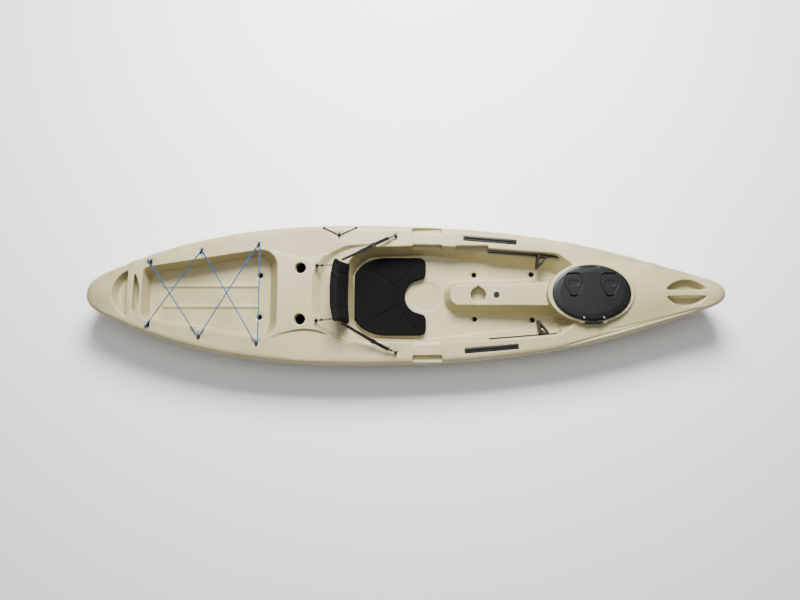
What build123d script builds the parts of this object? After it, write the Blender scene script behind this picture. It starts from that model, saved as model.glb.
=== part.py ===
"""Sit-on-top kayak with a tankwell, a moulded seat well, gear tracks and an oval bow hatch.

Frame: +X to the bow, +Y to port, +Z up; the origin is under the middle of the hull, on its keel line.
All sizes are in millimetres.
"""
import os
from math import atan2, cos, degrees, hypot, pi, radians, sin, tan

from build123d import *

os.makedirs("parts", exist_ok=True)

# ---------------------------------------------------------------- driving dimensions
LENGTH = 3660.0
BEAM = 812.0
WALL = 4.5
STERN = -LENGTH / 2
BOW = LENGTH / 2

# hull lines at evenly graded stations from stern to bow:
# share of the half beam, keel height, deck edge height, deck crown above the edge
HULL_LINES = [
    (0.030, 215, 236, 2),
    (0.197, 72, 289, 8),
    (0.387, 14, 299, 14),
    (0.603, -5, 298, 17),
    (0.800, -12, 291, 19),
    (0.943, -14, 282, 22),
    (0.998, -14, 275, 23),
    (0.993, -14, 269, 16),
    (0.936, -14, 267, 14),
    (0.825, -13, 270, 20),
    (0.660, -9, 278, 26),
    (0.453, 5, 292, 22),
    (0.276, 34, 306, 16),
    (0.150, 95, 320, 9),
    (0.024, 255, 281, 2),
]
STRIPS_PER_STATION = 2
BILGE = 0.10
BOTTOM_FLAT = 0.75
GUNWALE_DROP = 0.16
GUNWALE_ROUND = 45.0

# tankwell: aft edge of its rim, rim and floor lengths, half widths at the aft and forward ends
TANK_AFT = STERN + 341
TANK_RIM_LENGTH = 762.0
TANK_RIM_HALF = (146.0, 270.0)
TANK_FLOOR_HALF = (130.0, 252.0)
TANK_FLOOR_AFT_SETBACK = 6.0
TANK_FLOOR_FORE_SETBACK = 54.0
TANK_FLOOR_Z = 166.0
TANK_RIB_Y = 60.0
TANK_RIB_LENGTH = 560.0
TANK_RIB_WIDTH = 22.0
TANK_RIB_HEIGHT = 9.0

# seat well and footwells, (x, y, corner radius) of the port half of each outline
WELL_FLOOR_Z = 128.0
WELL_RIM_Z = 268.0
WELL_FLOOR = [(-302, 150, 100), (-215, 240, 90), (150, 252, 300), (450, 214, 400),
              (840, 172, 110), (915, 110, 30)]
WELL_RIM = [(-338, 182, 110), (-255, 268, 95), (150, 281, 300), (450, 269, 400),
            (884, 234, 110), (960, 165, 40)]
STEP_AFT = -515.0
STEP_Z = 237.0
STEP_RISE = 5.6
STEP_FLOOR = [(37, 100, 250), (85, 212, 160), (190, 265, 220), (345, 290, 15)]
STEP_RIM = [(-1, 110, 300), (53, 240, 190), (170, 300, 270), (345, 320, 15)]
STEP_RIM_HEIGHT = 50.0
HEEL_RING_X = 123.0
HEEL_RING_R = 90.0
HEEL_RING_DEPTH = 3.0

# centre console between the footwells
CONSOLE_BASE = [(226, 92, 80), (900, 112, 5)]
CONSOLE_TOP = [(264, 58, 50), (900, 76, 5)]
CONSOLE_NOSE_Z = 226.0
CONSOLE_SLOPE = 3.2
CUP_X = 425.0
CUP_R = 44.0
CUP_DEPTH = 64.0
CUP_NOTCH_R = 9.0
PLUG_X = 529.0
PLUG_HOLE_R = 14.0

# bow hatch: oval coaming, lid and opening (semi-axes along X and Y)
HATCH_X = BOW - 773
HATCH_TOP = 312.0
COAMING = (246.0, 171.0)
LID = (222.0, 160.0)
OPENING = (184.0, 114.0)
LID_GAP = 4.0
LID_EDGE = 7.0
LID_CROWN = 7.0
LID_SKIRT = 16.0
FINGER_SLOT = (66.0, 20.0)
LATCH_SPREAD = 101.0
LATCH_Y = 44.0
LATCH_WIDE = 53.0
LATCH_HALF = 58.0
LATCH_THICK = 8.5
LATCH_GAP = 1.5
LATCH_BARREL_R = 4.2
LATCH_PIN_R = 2.5
LATCH_PIN_LENGTH = 54.0
LATCH_POCKET_SIDE = 6.0
PIN_CLEARANCE = 0.05
HINGE_SPREAD = 56.0
HINGE_Y = -165.0
HINGE_R = 4.0
HINGE_PIN_R = 1.8
HINGE_SCREW_Y = -143.0
HINGE_HOLE_R = 2.2
KNUCKLE = 25.0
KNUCKLE_OUTER = 24.5

# scuppers, rod holders, moulded carry bars and side grips
SCUPPER_R = 15.0
SCUPPER_RING_R = 27.0
SCUPPER_RING_DEPTH = 3.0
ROD_X = -596.0
ROD_Y = 147.0
ROD_R = 31.0
ROD_DEPTH = 210.0
ROD_LEAN = 12.0
STERN_BAR_X = STERN + 274
STERN_BAR_WIDTH = 34.0
BOW_BAR_WIDTH = 37.0
BAR_THICK = 30.0
GRIP_X = 130.0
GRIP_LENGTH = 168.0
GRIP_Y = 368.0
GRIP_WIDTH = 34.0
GRIP_DEPTH = 28.0
INNER_GRIP_Z = 214.0

# gear tracks (gunwale) and foot-brace rails (footwell walls), port ends
TRACK_AFT = (341.0, 326.0)
TRACK_FORE = (646.0, 300.0)
TRACK_WIDTH = 26.0
TRACK_HEIGHT = 12.0
TRACK_PROUD = 2.0
TRACK_SLOT = 8.5
TRACK_CAVITY = 17.0
RAIL_AFT = (484.0, 260.0)
RAIL_FORE = (892.0, 229.0)
RAIL_Z = 232.0
RAIL_HEIGHT = 34.0
RAIL_THICK = 10.0
RAIL_SLOT = 16.0
PEDAL_FROM_END = 96.0
PEDAL_REACH = 76.0
PEDAL_BASE = 60.0
PEDAL_BRACKET = 30.0
PEDAL_UP = 54.0
PEDAL_DOWN = 36.0
RUN_CLEARANCE = 0.5

# fittings
EYE_SEAT_R = 25.0
EYE_SEAT_DEPTH = 2.5
EYE_BASE = (42.0, 15.0, 3.0)
EYE_LEG = 8.0
EYE_ROD_R = 2.5
EYE_INSIDE = 18.0
SCREW_PITCH = 31.0
SCREW_R = 1.9
SCREW_HEAD_R = 3.8
TANK_EYES = [(STERN + 385, 179), (STERN + 670, 244), (STERN + 995, 283)]
REAR_EYE = (-501.0, 157.0)
FRONT_EYE = (-50.0, 337.0)
KEEPER_EYE = (-375.0, 341.0)
KEEPER_ENDS = [(-464.0, 384.0), (-278.0, 386.0)]
BUNGEE_R = 2.5
KEEPER_R = 2.0
WRAP_R = 8.0
CORD_LOW = 8.5
CORD_HIGH = 14.5
KNOT_R = 6.5
ANCHOR_CORD_Z = 7.0

# seat
PAD_FRONT = 126.0
PAD_REAR = -294.0
PAD_HALF = 229.0
PAD_THICK = 38.0
PAD_NOTCH_R = 104.0
SOFT_GAP = 0.3
BACK_HINGE = (-338.0, 0.0, 272.0)
BACK_LEAN = 20.0
BACK_HALF = 176.0
BACK_HEIGHT = 178.0
BACK_THICK = 34.0
BACK_R = 520.0
WEB_WIDTH = 19.0
WEB_THICK = 2.2
BUCKLE = (-177.0, 275.0, 318.0)
BUCKLE_HALF = 13.0
FRONT_HOOK = 52.0
REAR_HOOK = 44.0
HOOK_RING = 34.0
HOOK_WIRE = 5.0

BOX_UP = (Align.CENTER, Align.CENTER, Align.MIN)


# ---------------------------------------------------------------- hull forms
def lines_at(station):
    """Hull line values at a station number, smoothly through the neighbouring stations."""
    last = len(HULL_LINES) - 1
    base = min(int(station), last - 1)
    s = station - base
    near = [HULL_LINES[max(0, min(last, base + step))] for step in (-1, 0, 1, 2)]
    return [
        0.5 * (2 * b + (c - a) * s + (2 * a - 5 * b + 4 * c - d) * s**2 + (3 * b - a - 3 * c + d) * s**3)
        for a, b, c, d in zip(*near)
    ]


def hull_form(inset):
    """Closed outer shape of the hull, or a plainer one moved inwards by a wall."""
    per_station = STRIPS_PER_STATION if inset == 0 else 1
    strips = (len(HULL_LINES) - 1) * per_station
    ends = 0 if inset == 0 else 1
    sections = []
    for strip in range(ends, strips + 1 - ends):
        share, keel, edge, crown = lines_at(strip / per_station)
        x = (LENGTH / 2 - inset) * sin(pi * (strip / strips - 0.5))
        half = share * BEAM / 2 - inset
        keel += inset
        edge -= inset
        height = edge - keel
        widest = edge - GUNWALE_DROP * height
        flat = half - min(GUNWALE_ROUND, 0.3 * half)
        with BuildSketch(Plane.YZ.offset(x)) as section:
            with BuildLine():
                bilge = keel + BILGE * height
                Bezier((-half, widest), (-half, bilge), (-BOTTOM_FLAT * half, keel), (0, keel))
                Bezier((0, keel), (BOTTOM_FLAT * half, keel), (half, bilge), (half, widest))
                Bezier((half, widest), (half, edge), (flat, edge))
                Bezier(
                    (flat, edge), (0.7 * flat, edge), (0.35 * flat, edge + 1.25 * crown),
                    (-0.35 * flat, edge + 1.25 * crown), (-0.7 * flat, edge), (-flat, edge),
                )
                Bezier((-flat, edge), (-half, edge), (-half, widest))
            make_face()
        sections.append(section.sketch)
    with BuildPart() as form:
        loft(sections=sections, ruled=True)
        with Locations((0, 0, inset)):
            Box(
                LENGTH * 1.1, BEAM * 1.1, 200,
                align=(Align.CENTER, Align.CENTER, Align.MAX), mode=Mode.SUBTRACT,
            )
    return form.part


OUTER = hull_form(0)


def deck_z(x, y):
    """Height of the deck over a point of the plan."""
    hits = OUTER.find_intersection_points(Axis((x, y, 1000), (0, 0, -1)))
    return max(point.Z for point, normal in hits)


def moved_out(points, distance):
    """A closed polygon with every side moved outwards; its points run clockwise seen from +Z."""
    grown = []
    for index, point in enumerate(points):
        before = points[index - 1]
        after = points[(index + 1) % len(points)]
        a = atan2(point[1] - before[1], point[0] - before[0])
        b = atan2(after[1] - point[1], after[0] - point[0])
        reach = distance / cos((b - a) / 2)
        middle = (a + b) / 2 + pi / 2
        if cos((b - a) / 2) < 0:
            reach = -reach
            middle += pi
        grown.append((point[0] + reach * cos(middle), point[1] + reach * sin(middle)))
    return grown


def tray_form(low, rim, z_low, z_rim, z_top, grow=0.0, plane=Plane.XY):
    """Drafted recess between a floor outline and a rim outline, carried on up to z_top.

    Each outline lists (x, y, corner radius) for its port half, from aft to fore.
    """
    rise = (z_top - z_low) / (z_rim - z_low)
    high = [
        (a[0] + (b[0] - a[0]) * rise, a[1] + (b[1] - a[1]) * rise, b[2])
        for a, b in zip(low, rim)
    ]
    faces = []
    for outline, z in ((low, z_low - grow), (high, z_top)):
        port = [(x, y) for x, y, r in outline]
        starboard = [(x, -y) for x, y in reversed(port)]
        radii = [max(min(r, 0.9 * y) + grow, 1) for x, y, r in outline]
        with BuildSketch(plane.offset(z)) as face:
            with BuildLine():
                FilletPolyline(
                    *moved_out(port + starboard, grow), radius=radii + radii[::-1], close=True
                )
            make_face()
        faces.append(face.sketch)
    with BuildPart() as form:
        loft(sections=faces, ruled=True)
    return form.part


def oval_form(semi_axes, z_low, z_high, x=HATCH_X, y=0.0):
    with BuildPart() as form:
        with BuildSketch(Plane.XY.offset(z_low)):
            with Locations((x, y)):
                Ellipse(*semi_axes)
        extrude(amount=z_high - z_low)
    return form.part


def tank_form(grow):
    aft = TANK_AFT
    fore = TANK_AFT + TANK_RIM_LENGTH
    floor = [
        (aft + TANK_FLOOR_AFT_SETBACK, TANK_FLOOR_HALF[0], 40),
        (fore - TANK_FLOOR_FORE_SETBACK, TANK_FLOOR_HALF[1], 85),
    ]
    rim = [(aft, TANK_RIM_HALF[0], 40), (fore, TANK_RIM_HALF[1], 100)]
    return tray_form(floor, rim, TANK_FLOOR_Z, 288, 360, grow)


def console_form(grow):
    """Raised console, its top sloping up towards the hatch."""
    tower = tray_form(
        CONSOLE_BASE, CONSOLE_TOP, WELL_FLOOR_Z - 20, CONSOLE_NOSE_Z, 330, grow
    )
    top = Plane(
        origin=(CONSOLE_TOP[0][0], 0, CONSOLE_NOSE_Z + grow),
        x_dir=(cos(radians(CONSOLE_SLOPE)), 0, sin(radians(CONSOLE_SLOPE))),
        z_dir=(-sin(radians(CONSOLE_SLOPE)), 0, cos(radians(CONSOLE_SLOPE))),
    )
    with BuildPart() as form:
        add(tower)
        split(bisect_by=top, keep=Keep.BOTTOM)
    return form.part


def well_form(grow):
    """Seat well and footwells around the console and the hatch pedestal."""
    pedestal = (COAMING[0] - grow, COAMING[1] - grow)
    with BuildPart() as form:
        add(tray_form(WELL_FLOOR, WELL_RIM, WELL_FLOOR_Z, WELL_RIM_Z, 340, grow))
        add(console_form(-grow), mode=Mode.SUBTRACT)
        add(oval_form(pedestal, 20, HATCH_TOP + 60), mode=Mode.SUBTRACT)
    return form.part


def step_form(grow):
    """C-shaped step around the back of the seat, its shelf rising forward until it meets the deck."""
    lean = radians(STEP_RISE)
    shelf = Plane(origin=(STEP_AFT, 0, STEP_Z), x_dir=(cos(lean), 0, sin(lean)), z_dir=(-sin(lean), 0, cos(lean)))
    return tray_form(STEP_FLOOR, STEP_RIM, 0, STEP_RIM_HEIGHT, 100, grow, shelf)


def stern_recess(grow):
    """Oval hand recess on both sides of the stern carry bar."""
    faces = []
    for z, inset in ((238 - grow, 20 - grow), (345, -10 - grow)):
        aft = STERN_BAR_X - 105 + inset
        fore = STERN_BAR_X + 53 - inset * 0.5
        half = 136 - inset
        with BuildSketch(Plane.XY.offset(z)) as face:
            with BuildLine():
                ThreePointArc((STERN_BAR_X - 17, half), (aft, 0), (STERN_BAR_X - 17, -half))
                Line((STERN_BAR_X - 17, -half), (STERN_BAR_X + 17, 8 - half))
                ThreePointArc((STERN_BAR_X + 17, 8 - half), (fore, 0), (STERN_BAR_X + 17, half - 8))
                Line((STERN_BAR_X + 17, half - 8), (STERN_BAR_X - 17, half))
            make_face()
        faces.append(face.sketch)
    with BuildPart() as form:
        loft(sections=faces, ruled=True)
        if grow == 0:
            with Locations((STERN_BAR_X, 0, deck_z(STERN_BAR_X, 0) - BAR_THICK)):
                Box(STERN_BAR_WIDTH, 400, 200, align=BOX_UP, mode=Mode.SUBTRACT)
    return form.part


def bow_recess(grow):
    """Lens-shaped hand recess on both sides of the bow carry bar."""
    faces = []
    for z, inset in ((254 - grow, 20 - grow), (360, -10 - grow)):
        aft = BOW - 366 + inset
        fore = BOW - 108 - inset
        half = 82 - inset
        middle = BOW - 240
        with BuildSketch(Plane.XY.offset(z)) as face:
            with BuildLine():
                ThreePointArc((aft, 0), (middle, half), (fore, 0))
                ThreePointArc((fore, 0), (middle, -half), (aft, 0))
            make_face()
        faces.append(face.sketch)
    with BuildPart() as form:
        loft(sections=faces, ruled=True)
        if grow == 0:
            with Locations((BOW - 237, 0, deck_z(BOW - 237, 0) - BAR_THICK)):
                Box(400, BOW_BAR_WIDTH, 200, align=BOX_UP, mode=Mode.SUBTRACT)
    return form.part


def side_deck_form(grow):
    """Lowered side decks behind the seat, fading out fore and aft; the edge is a curved crease."""
    valley = 3000.0
    with BuildPart() as form:
        for side in (1, -1):
            with BuildSketch(Plane.XY.offset(250)):
                with BuildLine():
                    Spline(
                        (-800, side * (262 - grow)), (-690, side * (226 - grow)),
                        (-570, side * (204 - grow)), (-460, side * (222 - grow)),
                        (-340, side * (272 - grow)), (-205, side * (324 - grow)),
                    )
                    Polyline(
                        (-205, side * (324 - grow)), (-205, side * 430),
                        (-800, side * 430), (-800, side * (262 - grow)),
                    )
                make_face()
            extrude(amount=80)
        with BuildSketch(Plane.XZ.offset(-BEAM)):
            with Locations((-500, 273 - grow + valley)):
                Circle(valley)
        extrude(amount=2 * BEAM, mode=Mode.INTERSECT)
    return form.part


def rod_tube(side, radius, extra):
    lean = radians(ROD_LEAN)
    up = (-sin(lean), 0, cos(lean))
    top = deck_z(ROD_X, ROD_Y) + 12
    length = ROD_DEPTH + extra
    mouth = Plane(origin=(ROD_X - 12 * tan(lean), side * ROD_Y, top), z_dir=up)
    with BuildPart() as tube:
        with BuildSketch(mouth):
            Circle(radius)
        extrude(amount=-length)
    return tube.part


def along_pair(aft, fore, share=0.5):
    return (aft[0] + (fore[0] - aft[0]) * share, aft[1] + (fore[1] - aft[1]) * share)


def slanted_plane(aft, fore, side, z, share=0.5):
    """Plane on the line between two plan points: x along the line to the bow, y outboard to port."""
    x, y = along_pair(aft, fore, share)
    turn = atan2(fore[1] - aft[1], fore[0] - aft[0]) * side
    return Plane(origin=(x, side * y, z), x_dir=(cos(turn), sin(turn), 0), z_dir=(0, 0, 1))


TRACK_LENGTH = hypot(TRACK_FORE[0] - TRACK_AFT[0], TRACK_FORE[1] - TRACK_AFT[1])
TRACK_TOP = min(deck_z(*TRACK_AFT), deck_z(*TRACK_FORE), deck_z(*along_pair(TRACK_AFT, TRACK_FORE)))
TRACK_TOP += TRACK_PROUD
TRACK_SEAT = TRACK_TOP - TRACK_HEIGHT
RAIL_LENGTH = hypot(RAIL_FORE[0] - RAIL_AFT[0], RAIL_FORE[1] - RAIL_AFT[1])


def slanted_box(plane, size, low, inboard=0.0):
    """Box centred on the plane's x, its z from low upwards; with inboard, it lies on one side of y."""
    with BuildPart() as box:
        with BuildSketch(plane.offset(low)):
            with Locations((0, inboard)):
                Rectangle(size[0], size[1])
        extrude(amount=size[2])
    return box.part


def track_pocket(side, grow):
    plane = slanted_plane(TRACK_AFT, TRACK_FORE, side, 0)
    size = (TRACK_LENGTH + 2 + 2 * grow, TRACK_WIDTH + 1 + 2 * grow, 60)
    return slanted_box(plane, size, TRACK_SEAT - grow)


def rail_pocket(side, grow):
    plane = slanted_plane(RAIL_AFT, RAIL_FORE, side, 0)
    deep = 60 + 2 * grow
    size = (RAIL_LENGTH + 4 + 2 * grow, deep, RAIL_HEIGHT + 4 + 2 * grow)
    return slanted_box(plane, size, RAIL_Z - RAIL_HEIGHT / 2 - 2 - grow, -side * (deep / 2 - grow))


def plain_box(x, y, z, grow):
    """Box from (low, high) pairs along each axis, grown all round."""
    size = [b - a + 2 * grow for a, b in (x, y, z)]
    with BuildPart() as box:
        with Locations(((x[0] + x[1]) / 2, (y[0] + y[1]) / 2, (z[0] + z[1]) / 2)):
            Box(*size)
    return box.part


def post(x, y, radius, z_low, z_high):
    with BuildPart() as form:
        with Locations((x, y, (z_low + z_high) / 2)):
            Cylinder(radius, z_high - z_low)
    return form.part


SCUPPERS = [
    (STERN + 984, 123, TANK_FLOOR_Z),
    (-280, 129, WELL_FLOOR_Z),
    (411, 131, WELL_FLOOR_Z),
    (750, 135, WELL_FLOOR_Z),
]
EYES = TANK_EYES + [REAR_EYE, FRONT_EYE]
EYE_PLACES = [(x, side * y) for x, y in EYES for side in (1, -1)] + [KEEPER_EYE]
GRIP_SPAN = (GRIP_X - GRIP_LENGTH / 2, GRIP_X + GRIP_LENGTH / 2)


def recesses(grow):
    """Everything that is hollowed into the deck; grown by the wall, it is what the cavity leaves out."""
    forms = [
        tank_form(grow), well_form(grow), step_form(grow), stern_recess(grow), bow_recess(grow),
        side_deck_form(grow),
        post(CUP_X, 0, CUP_R + grow, CONSOLE_NOSE_Z + 9 - CUP_DEPTH - grow, 300),
    ]
    for side in (1, -1):
        forms += [
            post(CUP_X, side * CUP_R, CUP_NOTCH_R + grow, CONSOLE_NOSE_Z - 26 - grow, 300),
            rod_tube(side, ROD_R + grow, grow),
            track_pocket(side, grow),
            rail_pocket(side, grow),
            plain_box(
                GRIP_SPAN, sorted((side * (GRIP_Y - GRIP_WIDTH / 2), side * (GRIP_Y + GRIP_WIDTH / 2))),
                (deck_z(GRIP_X, GRIP_Y) - GRIP_DEPTH, 340), grow,
            ),
            plain_box(GRIP_SPAN, sorted((side * 240, side * 287)), (INNER_GRIP_Z, 340), grow),
        ]
    forms.append(plain_box((296, 484), (228, 281), (INNER_GRIP_Z, 340), grow))
    return forms


# ---------------------------------------------------------------- hull
SCUPPER_PLACES = [(x, side * y, floor) for x, y, floor in SCUPPERS for side in (1, -1)]

with BuildPart() as cavity:
    add(hull_form(WALL))
    add(oval_form((COAMING[0] - WALL, COAMING[1] - WALL), 150, HATCH_TOP - WALL - 4))
    for form in recesses(WALL):
        add(form, mode=Mode.SUBTRACT)
    for x, y, floor in SCUPPER_PLACES:
        ring_low = floor - SCUPPER_RING_DEPTH - WALL
        add(post(x, y, SCUPPER_R + WALL, -10, floor), mode=Mode.SUBTRACT)
        add(post(x, y, SCUPPER_RING_R + WALL, ring_low, floor + 40), mode=Mode.SUBTRACT)
    add(oval_form(OPENING, HATCH_TOP - 60, HATCH_TOP + 20))
    add(post(PLUG_X, 0, PLUG_HOLE_R, 180, 300))

with BuildPart() as hull:
    add(OUTER)
    add(oval_form(COAMING, 100, HATCH_TOP))
    add(plain_box((HATCH_X - 70, HATCH_X + 84), (-171.5, -140), (270, HATCH_TOP - 0.5), 0))
    for form in recesses(0):
        add(form, mode=Mode.SUBTRACT)
    for side in (1, -1):
        rib_x = TANK_AFT + 77 + TANK_RIB_LENGTH / 2
        with BuildSketch(Plane.XY.offset(TANK_FLOOR_Z - 1)):
            with Locations((rib_x, side * TANK_RIB_Y)):
                SlotOverall(TANK_RIB_LENGTH, TANK_RIB_WIDTH)
        extrude(amount=TANK_RIB_HEIGHT + 1, taper=20)
    add(post(HEEL_RING_X, 0, HEEL_RING_R, WELL_FLOOR_Z - HEEL_RING_DEPTH, 160), mode=Mode.SUBTRACT)
    for x, y in EYE_PLACES:
        z = deck_z(x, y) - EYE_SEAT_DEPTH
        add(post(x, y, EYE_SEAT_R, z, z + 40), mode=Mode.SUBTRACT)
    for x, y, floor in SCUPPER_PLACES:
        add(post(x, y, SCUPPER_RING_R, floor - SCUPPER_RING_DEPTH, floor + 20), mode=Mode.SUBTRACT)
    add(cavity.part, mode=Mode.SUBTRACT)
    for x, y, floor in SCUPPER_PLACES:
        add(post(x, y, SCUPPER_R, -10, floor + 10), mode=Mode.SUBTRACT)
hull.part.label = "hull"
export_step(hull.part, "parts/hull.step")


# ---------------------------------------------------------------- bow hatch
LID_LOW = HATCH_TOP + LID_GAP
LID_EDGE_TOP = LID_LOW + LID_EDGE
LID_TOP = LID_EDGE_TOP + LID_CROWN
HATCH_HINGE_X = HATCH_X + 7
LATCH_XS = (HATCH_X - LATCH_SPREAD, HATCH_X + LATCH_SPREAD)
LATCH_AXIS_Y = LATCH_Y - LATCH_HALF
LATCH_AXIS_Z = LID_TOP - 5.3
LATCH_TOP = LID_TOP - 0.5
HINGE_Z = HATCH_TOP + 4.3


def latch_outline(x, amount, z):
    """Leaf shape of a hatch latch, wide at the finger end; with an amount, its opening in the lid."""
    narrow = 0.28 * LATCH_WIDE
    points = [
        (-0.87 * LATCH_WIDE, 0.9 * LATCH_HALF), (0.87 * LATCH_WIDE, 0.9 * LATCH_HALF),
        (LATCH_WIDE, 0.14 * LATCH_HALF), (narrow, -LATCH_HALF),
        (-narrow, -LATCH_HALF), (-LATCH_WIDE, 0.14 * LATCH_HALF),
    ]
    with BuildSketch(Plane.XY.offset(z)) as face:
        with BuildLine():
            FilletPolyline(
                *[(x + px, LATCH_Y + py) for px, py in points],
                radius=[24, 24, 40, 6, 6, 40], close=True,
            )
        make_face()
        if amount:
            offset(amount=amount, kind=Kind.INTERSECTION)
    return face.sketch


def x_rod(x, y, z, radius, length):
    with BuildPart() as rod:
        with Locations(Location((x, y, z), (0, 90, 0))):
            Cylinder(radius, length)
    return rod.part


with BuildPart() as hatch_lid:
    add(oval_form(LID, LID_LOW, LID_EDGE_TOP))
    for inset, rise in ((0, 0), (12, 0.64 * LID_CROWN), (40, LID_CROWN)):
        with BuildSketch(Plane.XY.offset(LID_EDGE_TOP + rise)):
            with Locations((HATCH_X, 0)):
                Ellipse(LID[0] - inset, LID[1] - inset)
    loft(ruled=True)
    add(oval_form((OPENING[0] - 4, OPENING[1] - 4), LID_LOW - LID_SKIRT, LID_LOW))
    inside = (OPENING[0] - 4 - WALL, OPENING[1] - 4 - WALL)
    add(oval_form(inside, LID_LOW - LID_SKIRT - 1, LID_LOW), mode=Mode.SUBTRACT)
    add(oval_form(FINGER_SLOT, LID_LOW + 4, LID_TOP + 10, HATCH_X - 12, LID[1] - 4), mode=Mode.SUBTRACT)
    for x in LATCH_XS:
        extrude(latch_outline(x, LATCH_GAP, LID_TOP - 10), amount=20, mode=Mode.SUBTRACT)
        with BuildSketch(Plane.XY.offset(LID_TOP - 10)):
            with Locations((x, LATCH_Y + LATCH_HALF - 2)):
                SlotOverall(74, 24)
        extrude(amount=20, mode=Mode.SUBTRACT)
        with Locations((x, LATCH_AXIS_Y - 1, LID_TOP - 5)):
            Box(0.56 * LATCH_WIDE + 2 * LATCH_POCKET_SIDE, 20, 10.01, mode=Mode.SUBTRACT)
        add(x_rod(x, LATCH_AXIS_Y, LATCH_AXIS_Z, LATCH_PIN_R, LATCH_PIN_LENGTH + 0.4), mode=Mode.SUBTRACT)
    for side in (1, -1):
        hole = post(HATCH_HINGE_X + side * HINGE_SPREAD, HINGE_SCREW_Y, HINGE_HOLE_R, LID_LOW - 1, LID_TOP)
        add(hole, mode=Mode.SUBTRACT)
hatch_lid.part.label = "hatch_lid"
export_step(hatch_lid.part, "parts/hatch_lid.step")

with BuildPart() as hatch_gasket:
    add(oval_form((OPENING[0] + 16, OPENING[1] + 16), HATCH_TOP + SOFT_GAP, LID_LOW))
    add(oval_form((OPENING[0] + 4, OPENING[1] + 4), HATCH_TOP, LID_LOW + 1), mode=Mode.SUBTRACT)
hatch_gasket.part.label = "hatch_gasket"
export_step(hatch_gasket.part, "parts/hatch_gasket.step")

for name, x in (("hatch_latch_aft", LATCH_XS[0]), ("hatch_latch_fore", LATCH_XS[1])):
    with BuildPart() as latch:
        extrude(latch_outline(x, 0, LATCH_TOP - LATCH_THICK), amount=LATCH_THICK)
        with Locations((x, LATCH_AXIS_Y - 25, LID_TOP)):
            Box(140, 50, 40, mode=Mode.SUBTRACT)
        add(x_rod(x, LATCH_AXIS_Y, LATCH_AXIS_Z, LATCH_BARREL_R, 27))
        bore = x_rod(x, LATCH_AXIS_Y, LATCH_AXIS_Z, LATCH_PIN_R + PIN_CLEARANCE, 60)
        add(bore, mode=Mode.SUBTRACT)
        with BuildSketch(Plane.XY.offset(LATCH_TOP)):
            with Locations((x, LATCH_Y + 10)):
                SlotOverall(60, 34)
        extrude(amount=-3, taper=30, mode=Mode.SUBTRACT)
    latch.part.label = name
    export_step(latch.part, "parts/" + name + ".step")

with BuildPart() as hatch_latch_pins:
    for x in LATCH_XS:
        add(x_rod(x, LATCH_AXIS_Y, LATCH_AXIS_Z, LATCH_PIN_R, LATCH_PIN_LENGTH))
hatch_latch_pins.part.label = "hatch_latch_pins"
export_step(hatch_latch_pins.part, "parts/hatch_latch_pins.step")

KNUCKLE_END = KNUCKLE + 0.5 + KNUCKLE_OUTER / 2
with BuildPart() as hatch_hinge_base:
    with Locations((HATCH_HINGE_X, -COAMING[1] - 1.9, HATCH_TOP - 11)):
        Box(2 * (KNUCKLE + KNUCKLE_OUTER), 2.6, 22)
    for side in (1, -1):
        with Locations((HATCH_HINGE_X + side * KNUCKLE_END, HINGE_Y - 5, HINGE_Z - 2)):
            Box(KNUCKLE_OUTER, 8, 5)
        add(x_rod(HATCH_HINGE_X + side * KNUCKLE_END, HINGE_Y, HINGE_Z, HINGE_R, KNUCKLE_OUTER))
    add(x_rod(HATCH_HINGE_X, HINGE_Y, HINGE_Z, HINGE_PIN_R, 200), mode=Mode.SUBTRACT)
hatch_hinge_base.part.label = "hatch_hinge_base"
export_step(hatch_hinge_base.part, "parts/hatch_hinge_base.step")

with BuildPart() as hatch_hinge_leaf:
    with Locations((HATCH_HINGE_X, HINGE_SCREW_Y - 4, LID_LOW - 1.5)):
        Box(2 * HINGE_SPREAD + 18, 20, 3)
    with Locations((HATCH_HINGE_X, HINGE_SCREW_Y - 15, LID_LOW - 1.5)):
        Box(2 * KNUCKLE - 1, 10, 3)
    add(x_rod(HATCH_HINGE_X, HINGE_Y, HINGE_Z, HINGE_R, 2 * KNUCKLE - 1))
    bore = x_rod(HATCH_HINGE_X, HINGE_Y, HINGE_Z, HINGE_PIN_R + PIN_CLEARANCE, 200)
    add(bore, mode=Mode.SUBTRACT)
    for side in (1, -1):
        hole = post(HATCH_HINGE_X + side * HINGE_SPREAD, HINGE_SCREW_Y, HINGE_HOLE_R, LID_LOW - 5, LID_LOW + 5)
        add(hole, mode=Mode.SUBTRACT)
hatch_hinge_leaf.part.label = "hatch_hinge_leaf"
export_step(hatch_hinge_leaf.part, "parts/hatch_hinge_leaf.step")

with BuildPart() as hatch_hinge_pin:
    add(x_rod(HATCH_HINGE_X, HINGE_Y, HINGE_Z, HINGE_PIN_R, 2 * (KNUCKLE + KNUCKLE_OUTER)))
hatch_hinge_pin.part.label = "hatch_hinge_pin"
export_step(hatch_hinge_pin.part, "parts/hatch_hinge_pin.step")

# the lid's top surface at the screws, between its edge and its crown
SCREW_SEAT_Z = LID_EDGE_TOP + 0.64 * LID_CROWN
with BuildPart() as hatch_hinge_screws:
    for side in (1, -1):
        x = HATCH_HINGE_X + side * HINGE_SPREAD
        add(post(x, HINGE_SCREW_Y, HINGE_HOLE_R, LID_LOW - 3, SCREW_SEAT_Z + 0.8))
        add(post(x, HINGE_SCREW_Y, 5.5, SCREW_SEAT_Z + 0.7, SCREW_SEAT_Z + 3.1))
hatch_hinge_screws.part.label = "hatch_hinge_screws"
export_step(hatch_hinge_screws.part, "parts/hatch_hinge_screws.step")


# ---------------------------------------------------------------- pad eyes, screws, cords
def eye_seat(x, y):
    return deck_z(x, y) - EYE_SEAT_DEPTH


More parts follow.
